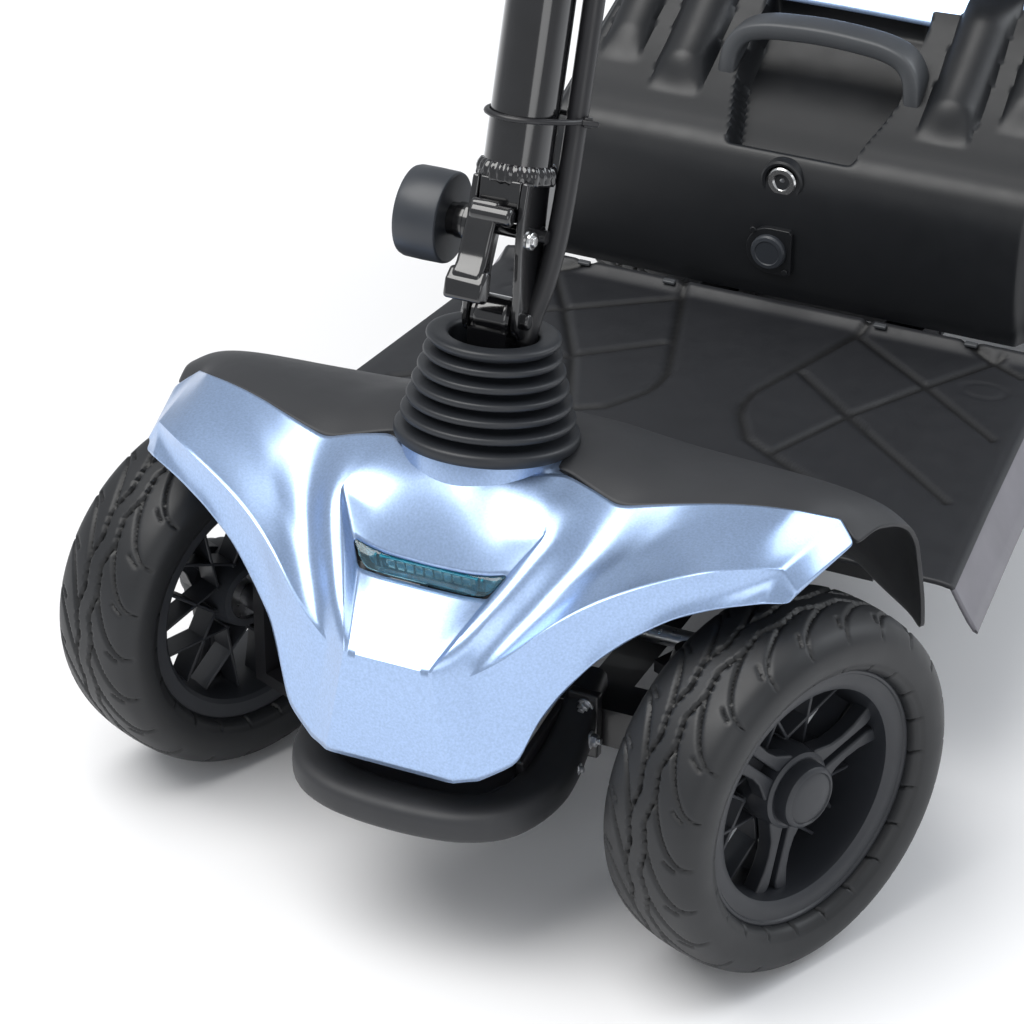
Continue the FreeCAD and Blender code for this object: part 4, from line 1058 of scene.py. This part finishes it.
count = grid.shape[0]
verts = [tuple(v) for v in grid.reshape(-1, 3)]
faces = grid_faces(count, cols)
for col in (0, cols - 1):
    loop = [i * cols + col for i in range(count)]
    faces.append(tuple(loop))
faces.append(tuple([j for j in range(cols)] + [(count - 1) * cols + j for j in reversed(range(cols))]))
pack = mesh_from("battery_shell", verts, faces, merge=0.001)
keep(pack, BATTERY, "battery", ["battery_case"], sharp=40)
arch_line = [(-68.5, 119, 270), (-67.5, 120, 292), (-65, 122, 306), (-57, 124, 316), (-42, 125, 321), (-20,
        125.5, 323),
             (0, 126, 323.5)]
arch_line = arch_line + [(-x, y, z) for x, y, z in reversed(arch_line[:-1])]
line = smooth_line(arch_line, 64)
verts = []
for i, p in enumerate(line):
    way = Vector(line[min(i + 1, 63)] - line[max(i - 1, 0)]).normalized()
    side = Vector((0, 1, 0))
    rise = way.cross(side).normalized()
    for k in range(20):
        turn = 2 * math.pi * k / 20
        c, s = math.cos(turn), math.sin(turn)
        c = math.copysign(abs(c) ** 0.4, c)
        s = math.copysign(abs(s) ** 0.4, s)
        verts.append(Vector(p) + side * c * 12 + rise * s * 6.6)
handle = mesh_from("handle_arch", verts, grid_faces(64, 20, wrap_cols=True) + [tuple(range(20)),
        tuple(range(63 * 20, 64 * 20))],
                   merge=0.001)
keep(handle, GREY, "battery", ["carry_handle"], sharp=50)


def front_axis(x, y, z):
    return axis_place((x, y, z), (0, -1, 0))


keep(lathe("socket_bezel", [(-6, 15.5), (1.6, 15.2), (2.6, 13.8), (2.2, 12.2), (0.6, 11.4), (-6, 11.2)],
           front_axis(0, 49.5, 245), steps=72, closed=True), BATTERY, "battery",
           sharp=28)
keep(lathe("socket_ring", [(-8, 10.4), (1.8, 10.4), (2.8, 9.4), (2.8, 6.2), (1.4, 5.2), (-8, 5.0)],
        front_axis(0, 49.5, 245),
           steps=64, closed=True), STEEL, "battery", ["charge_socket"], sharp=28)
keep(lathe("socket_core", [(-8, 5.1), (-3.5, 5.0), (-3.5, 2.2), (0.5, 1.9), (1.0, 0.01)], front_axis(0,
        49.5, 245), steps=40),
     ZINC, "battery", sharp=28)
outline = arc_points((0, 0), 17, 90, 270, 15) + [(14, -17), (16, -15), (16, 15), (14, 17)]
work = bmesh.new()
prism(work, outline, 7, shift(-4, 42.5, 196) @ Matrix.Rotation(math.pi / 2, 4, "X"))
for sx, sz in ((-12, 14), (12, -14)):
    solid_rod(work, (-4 + sx, 38.8, 196 + sz), (-4 + sx, 37.8, 196 + sz), 2.2, sides=20)
keep(finish_solid("connector_plate", work, bevel=1.6, segments=3), BATTERY, "battery")
keep(lathe("connector_cap", [(-4, 12.6), (3.6, 12.4), (5.0, 11.4), (5.4, 9.0), (4.8, 8.4), (5.0, 0.01)],
           front_axis(-4, 40.0, 196), steps=64), KNOB, "breaker", ["breaker_button"],
           sharp=28)

# ------------------------------------------------------------------ blue rear bodywork
brow_rows = []
for y, lift in ((168, 323), (176, 334.5), (188, 343), (200, 350), (209, 354), (219, 355), (221.5, 350)):
    brow_rows.append([(0, y, lift), (50, y, lift - 0.5), (90, y, lift - 1), (120, y, lift - 3), (142, y,
            lift - 8),
                      (158, y, lift - 16), (168, y, lift - 30), (173.5, y, lift - 48)])
full = mirrored(brow_rows)
brow = mesh_from("battery_top_panel", [p for row in full for p in row], grid_faces(len(full), len(full[0])))
thicken(brow, 2.0, levels=2)
keep(brow, BLUE, "battery", sharp=60)
shell_rows = []
for y, top, side, low in ((229, 372, 150, 236), (236, 378, 156, 240), (290, 376, 158, 243), (350, 364, 158,
        243),
                          (410, 343, 154, 243), (455, 312, 146, 236), (485, 272, 134, 226), (500, 232, 122,
                          214)):
    drop = top - low
    shell_rows.append([(0, y, top), (40, y, top - 1), (80, y, top - 5), (110, y, top - 14), (130, y,
            top - 0.22 * drop),
                       (side - 8, y, top - 0.42 * drop), (side, y, top - 0.7 * drop), (side + 3, y, low)])
shell_rows = [[(min(x, row[-1][0]) if x > row[-1][0] else x, y, z) for x, y,
        z in row] for row in shell_rows]
full = mirrored(shell_rows)
cells = [(i, j) for i in (2, 3) for j in (6, 7)]
shell = mesh_from("rear_shell", [p for row in full for p in row], grid_faces(len(full), len(full[0]),
        skip=cells))
thicken(shell, 2.6, levels=2)
keep(shell, BLUE, "root", ["rear_cover"], sharp=60)
for label, side in (("left", -1), ("right", 1)):
    verts = []
    spans = 30
    section = [(157, 118), (157.5, 123.5), (160, 128.5), (166, 131), (190, 132.5), (214, 131), (221, 127.5),
            (224, 121)]
    for k in range(spans):
        turn = math.radians(-14 + 205 * k / (spans - 1))
        for x, radius in section:
            verts.append((side * x, REAR_Y - radius * math.cos(turn), AXLE_Z + radius * math.sin(turn)))
    fender = mesh_from("rear_fender_" + label, verts, grid_faces(spans, len(section)))
    thicken(fender, 2.2, levels=1)
    keep(fender, BLUE, "root", sharp=60)

# ------------------------------------------------------------------ console, bar and controls
work = bmesh.new()
outline = [(-54, -26), (-48, -34), (48, -34), (54, -26), (50, 28), (34, 40), (-34, 40), (-50, 28)]
prism(work, outline, 52, tiller_frame @ shift(0, 0, 503))
prism(work, [(x * 0.86, y * 0.86) for x, y in outline], 6, tiller_frame @ shift(0, 0, 532))
prism(work, [(x * 0.8, y * 0.8) for x, y in outline], 5, tiller_frame @ shift(0, 0, 475))
keep(finish_solid("console_shell", work, bevel=5, segments=4), MOULDED, "tiller", ["console_pod"])
work = bmesh.new()
box_mesh(work, (60, 34, 1.8), tiller_frame @ shift(0, 8, 536.6))
keep(finish_solid("display_panel", work, bevel=0.7), SCREEN, "tiller", ["console_display"])
work = bmesh.new()
for k in range(5):
    box_mesh(work, (5, 3.4, 0.6), tiller_frame @ shift(-20 + 10 * k, 14, 537.8))
keep(finish_solid("charge_bars", work, bevel=0.2), LED, "tiller")
dial_place = Matrix.Translation(on_tiller(536.4, 0, -22)) @ Matrix.Rotation(-LEAN_TILLER, 4, "X") @ X_TO_Z
dial = lathe("dial_knob", [(0, 11), (5.5, 10.6), (8.0, 9.8), (8.9, 8.6), (9.0, 0.01)], dial_place, steps=72)
for vert in dial.data.vertices:
    local = dial_place.inverted() @ (vert.co / MM)
    radius = math.hypot(local.y, local.z)
    if radius > 9 and 0.5 < local.x < 8.2:
        scale = 1 - 0.05 * (0.5 + 0.5 * math.cos(18 * math.atan2(local.z, local.y)))
        vert.co = (dial_place @ Vector((local.x, local.y * scale, local.z * scale))) * MM
keep(dial, GREY, "dial", ["speed_dial"], sharp=28)
horn_place = Matrix.Translation(on_tiller(539, -38, -22)) @ Matrix.Rotation(-LEAN_TILLER, 4, "X") @ X_TO_Z
keep(lathe("horn_cap", [(0, 7), (4.4, 6.9), (5.6, 6.0), (6.0, 4.0), (6.1, 0.01)], horn_place, steps=48),
        RED, "horn",
     ["horn_button"], sharp=28)
for label, side in (("left", -1), ("right", 1)):
    ribs = [(92, 15.0), (94, 18.0), (97, 18.4), (99, 16.0)]
    for k in range(14):
        ribs += [(100 + 6 * k, 15.4), (102.5 + 6 * k, 16.0), (104 + 6 * k, 16.0), (105 + 6 * k, 15.4)]
    ribs += [(186, 16.0), (189.5, 15.6), (192, 12.5), (192.4, 0.01)]
    grip = lathe("grip_" + label, ribs, axis_place(on_tiller(500), (side, 0, 0)), steps=64)
    keep(grip, RUBBER, "tiller", ["handle_grips"] if side < 0 else (), sharp=50)
work = bmesh.new()
for side in (-1, 1):
    prism(work, [(24 * side, -6), (60 * side, -2), (104 * side, -2), (113 * side, 4), (113 * side, 11),
            (104 * side, 14),
                 (60 * side, 13), (24 * side, 12)][::side], 6, tiller_frame @ shift(0, 0, 460.5))
keep(finish_solid("throttle_wings", work, bevel=2, segments=3), GREY, "throttle", ["throttle_lever"])
ring = lathe("throttle_ring", [(455, 21), (455, 28), (456.5, 29), (464, 29), (465.5, 28), (465.5, 21)],
             Matrix.Translation(PIVOT) @ Matrix.Rotation(-LEAN_TILLER, 4, "X") @ X_TO_Z,
             steps=72, closed=True)
keep(ring, GREY, "throttle", sharp=28)

# ------------------------------------------------------------------ seat, backrest and arm pads
def cushion(name, node, body, fabric, cap, seams, pull=0.93):
    """A padded piece in the node's box: swollen by cloth pressure, then given its seams and piping."""
    low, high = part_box(node)
    centre = (low + high) / 2 if isinstance(low, Vector) else (Vector(low) + Vector(high)) / 2
    size = Vector(high) - Vector(low)
    work = bmesh.new()
    bmesh.ops.create_cube(work, size=1.0)
    for vert in work.verts:
        vert.co = Vector([c * s * pull for c, s in zip(vert.co, size)])
    bmesh.ops.subdivide_edges(work, edges=work.edges, cuts=7, use_grid_fill=True)
    small = min(range(3), key=lambda axis: size[axis])
    wide = [axis for axis in range(3) if axis != small]
    for vert in work.verts:
        u, v = (vert.co[axis] / (size[axis] * pull / 2) for axis in wide)
        corner = (abs(u) ** 5 + abs(v) ** 5) ** 0.2
        if corner > 1:
            for axis in wide:
                vert.co[axis] /= corner
        vert.co[small] *= 0.66 + 0.34 * (1 - max(abs(u), abs(v)) ** 4)
    mesh = bpy.data.meshes.new(name)
    work.to_mesh(mesh)
    work.free()
    obj = link(name, mesh)
    obj.location = centre
    bpy.context.view_layer.update()
    mesh.transform(obj.matrix_world)
    obj.location = (0, 0, 0)
    remesh = obj.modifiers.new("remesh", "REMESH")
    remesh.mode = "VOXEL"
    remesh.voxel_size = 0.006
    bpy.context.view_layer.update()
    solid = bpy.data.meshes.new_from_object(obj.evaluated_get(bpy.context.evaluated_depsgraph_get()))
    obj.modifiers.clear()
    obj.data = solid
    start = np.empty(len(solid.vertices) * 3)
    solid.vertices.foreach_get("co", start)
    start = start.reshape(-1, 3)
    cloth = obj.modifiers.new("cloth", "CLOTH")
    cloth.settings.use_pressure = True
    cloth.settings.uniform_pressure_force = 4
    cloth.settings.effector_weights.gravity = 0
    cloth.point_cache.frame_start = 1
    cloth.point_cache.frame_end = 20
    for step in range(1, 21):
        scene.frame_set(step)
    swollen = bpy.data.meshes.new_from_object(obj.evaluated_get(bpy.context.evaluated_depsgraph_get()))
    obj.modifiers.clear()
    obj.data = swollen
    scene.frame_set(1)
    now = np.empty(len(swollen.vertices) * 3)
    swollen.vertices.foreach_get("co", now)
    now = now.reshape(-1, 3)
    move = now - start
    far = np.linalg.norm(move, axis=1)[:, None]
    now = start + move * np.minimum(1.0, cap * MM / np.maximum(far, 1e-9))
    rel = (now - np.array(centre)) / (np.array(size) / 2)
    depth = np.zeros(len(now))
    for axis, at, width_mm, deep in seams:
        gap = np.abs(rel[:, axis] - at) * size[axis] / 2 / MM
        depth += deep * np.exp(-(gap / width_mm) ** 2)
    fade = np.clip(1 - np.max(np.abs(rel[:, wide]), axis=1) ** 8, 0, 1)
    now[:, small] -= np.sign(rel[:, small]) * depth * fade * MM
    for axis in range(3):
        lowest, highest = now[:, axis].min(), now[:, axis].max()
        limit = size[axis] / (highest - lowest)
        if limit < 1 or axis == small:
            now[:, axis] = centre[axis] + (now[:, axis] - (lowest + highest) / 2) * min(limit, 1.0)
    obj.data.vertices.foreach_set("co", now.reshape(-1))
    obj.data.update()
    smooth = obj.modifiers.new("smooth", "SUBSURF")
    smooth.levels = smooth.render_levels = 1
    keep(obj, fabric, body, [node], sharp=180)
    ring = []
    for k in range(97):
        turn = 2 * math.pi * k / 96
        c, s = math.cos(turn), math.sin(turn)
        scale = 1 / (abs(c) ** 5 + abs(s) ** 5) ** 0.2
        spot = [0, 0, 0]
        spot[wide[0]] = c * scale
        spot[wide[1]] = s * scale
        reach = [0, 0, 0]
        for axis in wide:
            reach[axis] = (now[:, axis].max() - now[:, axis].min()) / 2
        ring.append(Vector([(centre[axis] + spot[axis] * (reach[axis] - 0.0012)) / MM for axis in range(3)]))
    piping = sweep(name + "_piping", ring, 2.3, sides=12, closed_ends=False)
    keep(piping, PIPING, body, sharp=180)
    return obj


cushion("seat_pad", "seat_cushion", "seat", FABRIC, 12,
        [(0, -0.42, 3.2, 4.0), (0, 0.42, 3.2, 4.0), (1, -0.3, 3.2, 3.5), (1, 0.35, 3.2, 3.5)])
cushion("back_pad", "backrest_pad", "backrest", FABRIC, 12,
        [(0, -0.45, 3.2, 4.0), (0, 0.45, 3.2, 4.0), (2, 0.0, 3.2, 3.5)])
for label in ("left", "right"):
    cushion("arm_cushion_" + label, "arm_pad_" + label, "arm_" + label, VINYL, 5, [])

# ------------------------------------------------------------------ seat frame and rear fittings
SEAT_Y = 340
BASE_Z = 510
HINGE_Y = 544
HINGE_Z = 624
ARM_Z = 700
BACK_MID = 786
BACK_HALF_WIDTH, BACK_HALF_HEIGHT, BACK_FACE = 193, 125, 560.0
BACK_ROWS, BACK_COLS = 45, 61
CHANNEL_DEPTH, CHANNEL_WIDTH = 2.4, 3.2
across_u = np.linspace(-1, 1, BACK_COLS)[None, :]
up_v = np.linspace(-1, 1, BACK_ROWS)[:, None]
u_all = across_u + 0 * up_v
v_all = up_v + 0 * across_u
reach = np.maximum(np.abs(u_all), np.abs(v_all))
pinch = reach / np.maximum((u_all ** 6 + v_all ** 6) ** (1 / 6), 1e-6)
back_x = BACK_HALF_WIDTH * u_all * pinch
back_z = BACK_MID + BACK_HALF_HEIGHT * v_all * pinch
back_y = BACK_FACE - 6.0 * reach ** 6
for level in (-72, -36, 0, 36, 72):
    channel = np.exp(-((back_z - BACK_MID - level) / CHANNEL_WIDTH) ** 2) * np.clip((150 - np.abs(back_x)) / 8, 0, 1)
    back_y = back_y - CHANNEL_DEPTH * channel
back = mesh_from("backrest_shell", [tuple(v) for v in np.stack([back_x, back_y, back_z], axis=2).reshape(-1,
        3)],
                 grid_faces(BACK_ROWS, BACK_COLS), merge=0.001)
add_wall(back, WALL, 1)
keep(back, MOULDED, "backrest", ["backrest_frame"], sharp=50)
work = bmesh.new()
for side in (-1, 1):
    ear = [(534, 612), (538, 608), (550, 608), (556, 614), (559, 640), (559, 668), (553, 668), (536, 645)]
    prism(work, ear, 6, shift(side * 199.5, 0, 0) @ SIDE_PLANE)
    box_mesh(work, (14, 6, 22), shift(side * 195.5, 555.5, 657))
    solid_rod(work, (side * 196, HINGE_Y, HINGE_Z), (side * 205, HINGE_Y, HINGE_Z), 9.5, sides=6)
keep(finish_solid("backrest_ears", work, bevel=1.2), FRAME, "backrest")
work = bmesh.new()
box_mesh(work, (240, 240, 6), shift(0, SEAT_Y, BASE_Z + 3))
for x in (-80, -40, 40, 80):
    box_mesh(work, (5, 200, 7), shift(x, SEAT_Y, BASE_Z - 2))
solid_rod(work, (0, SEAT_Y, BASE_Z - 9), (0, SEAT_Y, BASE_Z + 1), 34, sides=64)
box_mesh(work, (440, 24, 20), shift(0, SEAT_Y + 110, BASE_Z - 10))
box_mesh(work, (412, 20, 10), shift(0, HINGE_Y, BASE_Z + 1))
box_mesh(work, (60, 84, 6), shift(0, HINGE_Y - 42, BASE_Z + 3))
for side in (-1, 1):
    bracket_side = [(527, 507), (560, 507), (559, 560), (555, 605), (558, 688), (556, 704), (550, 713),
            (538, 713),
                    (532, 704), (530, 688), (533, 605), (528, 560)]
    prism(work, bracket_side, 6, shift(side * 206, 0, 0) @ SIDE_PLANE)
keep(finish_solid("seat_underframe", work, bevel=2.2, segments=3), FRAME, "seat", ["seat_base"])
work = bmesh.new()
for side in (-1, 1):
    box_mesh(work, (3, 26, 22), shift(side * 221.2, SEAT_Y + 110, BASE_Z - 10))
keep(finish_solid("underframe_caps", work, bevel=1.2), KNOB, "seat")
for label, side in (("left", -1), ("right", 1)):
    work = bmesh.new()
    arm_side = [(553, 692), (556, 700), (552, 709), (470, 709), (360, 707), (343, 704), (340, 699), (343,
            693),
                (360, 692), (470, 691)]
    prism(work, arm_side, 8, shift(side * 214.5, 0, 0) @ SIDE_PLANE)
    solid_rod(work, (side * 203, HINGE_Y, ARM_Z), (side * 220, HINGE_Y, ARM_Z), 12, sides=40)
    for y in (380, 440, 500):
        solid_rod(work, (side * 216, y, ARM_Z + 8), (side * 216, y, ARM_Z + 11), 4.5, sides=24)
    keep(finish_solid("arm_bar_" + label, work, bevel=1.8, segments=3), FRAME, "arm_" + label,
            ["armrest_" + label])
up = shift(0, SEAT_Y, 0) @ X_TO_Z
post_profile = [(212, 15.5), (212, 18.0), (300, 18.0), (301, 17.4), (304, 17.4), (305, 18.0), (486, 18.0),
        (490, 24), (492, 29),
                (493, 30), (499, 30), (500, 29), (500, 15.5)]
keep(lathe("post_tube", post_profile, up, steps=72, closed=True), ZINC, "seat_column", ["seat_post"],
        sharp=32)
cover_verts = []
COVER_STEPS, COVER_RINGS = 96, 9
POST_CLEAR, COVER_HALF_X, COVER_HALF_Y = 25.5, 50, 72
for ring_no in range(COVER_RINGS):
    share_out = ring_no / (COVER_RINGS - 1)
    for k in range(COVER_STEPS):
        turn = 2 * math.pi * k / COVER_STEPS
        c, s = math.cos(turn), math.sin(turn)
        square = 1 / (abs(c) ** 4 + abs(s) ** 4) ** 0.25
        x = c * (POST_CLEAR + (square * COVER_HALF_X - POST_CLEAR) * share_out)
        y = SEAT_Y + 10 * share_out + s * (POST_CLEAR + (square * COVER_HALF_Y - POST_CLEAR) * share_out)
        shell_z = float(np.interp(y, [236, 290, 350, 410, 455], [378, 376, 364, 343, 312]))
        rise = 3.0 + 12.0 * max(0.0, 1 - share_out / 0.28) - 3.4 * share_out ** 8
        cover_verts.append((x, y, shell_z + rise))
cover = mesh_from("post_grommet", cover_verts, grid_faces(COVER_RINGS, COVER_STEPS, wrap_cols=True),
        merge=0.001)
add_wall(cover, WALL, -1)
keep(cover, MOULDED, "root", sharp=60)
lever_line = smooth_line([(122, 310, 502), (150, 310, 502), (185, 310, 502), (222, 310, 502)], 30)
lever = sweep("swivel_bar", lever_line, 4.2, sides=20)
keep(lever, FRAME, "swivel_release", ["swivel_lever"], sharp=60)
rings = [(211, 5.0), (212, 7.4)]
for k in range(6):
    rings += [(214 + 5 * k, 8.0), (216.5 + 5 * k, 7.2)]
rings += [(243, 7.6), (244.6, 5.5), (245, 0.01)]
keep(lathe("swivel_grip", rings, shift(0, 310, 502), steps=48), RUBBER, "swivel_release",
     sharp=60)
tip_profile = [(-15, 4.2), (-15, 10), (-12, 12), (-12, 17), (-15, 19), (-14.4, 23.4), (-11, 25), (-4, 25),
        (-3, 24), (3, 24),
               (4, 25), (11, 25), (14.4, 23.4), (15, 19), (12, 17), (12, 12), (15, 10), (15, 4.2)]
keep(lathe("tip_roller", tip_profile, shift(0, 488, 31), steps=72, closed=True), HUB, "anti_tip",
     ["anti_tip_wheel"], sharp=30)
work = bmesh.new()
prism(work, [(355, 131), (365, 131), (366, 150), (364, 198), (356, 198), (354, 150)], 8, shift(93, 0,
        0) @ SIDE_PLANE)
solid_rod(work, (89, 360, 200), (97, 360, 200), 7, sides=32)
solid_rod(work, (96, 360, 200), (115, 360, 200), 7.5, 9, sides=32)
keep(finish_solid("freewheel_handle", work, bevel=1.4, segments=3), RED, "freewheel", ["freewheel_lever"])

# ------------------------------------------------------------------ finish for the CAD nodes that stay
PAINT = {
    "chassis_frame": FRAME, "rear_frame": FRAME, "transaxle": FRAME, "drive_motor": ZINC,
    "controller": GREY,
    "steering_stem": GLOSS, "tie_rod": ZINC, "steering_knuckle_left": FRAME,
    "steering_knuckle_right": FRAME,
    "bearings_front_left": ZINC, "bearings_front_right": ZINC, "tiller_tube": GLOSS, "fold_bracket": GLOSS,
    "latch_lever": GLOSS, "clamp_knob": KNOB, "wiring_conduit": CABLE, "console_pod": MOULDED,
    "console_display": SCREEN,
    "handlebar": GLOSS, "handle_grips": RUBBER, "throttle_lever": GREY, "speed_dial": GREY,
    "horn_button": RED,
    "key_switch": STEEL, "battery_case": BATTERY, "battery_cells": GREY, "carry_handle": GREY,
    "charge_socket": STEEL,
    "breaker_button": KNOB, "deck": DECK, "rear_cover": BLUE, "seat_post": ZINC, "seat_base": FRAME,
    "seat_cushion": FABRIC, "backrest_pad": FABRIC, "backrest_frame": FRAME, "armrest_left": FRAME,
    "armrest_right": FRAME,
    "arm_pad_left": VINYL, "arm_pad_right": VINYL, "swivel_lever": FRAME, "freewheel_lever": RED,
    "anti_tip_wheel": HUB,
    "front_bumper": FRAME, "light_housing": TEAL, "light_board": LED, "light_lens": LENS,
    "steering_boot": RUBBER,
}
for name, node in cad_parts.items():
    if name in PAINT:
        node.data.materials.clear()
        node.data.materials.append(PAINT[name])

low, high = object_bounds()
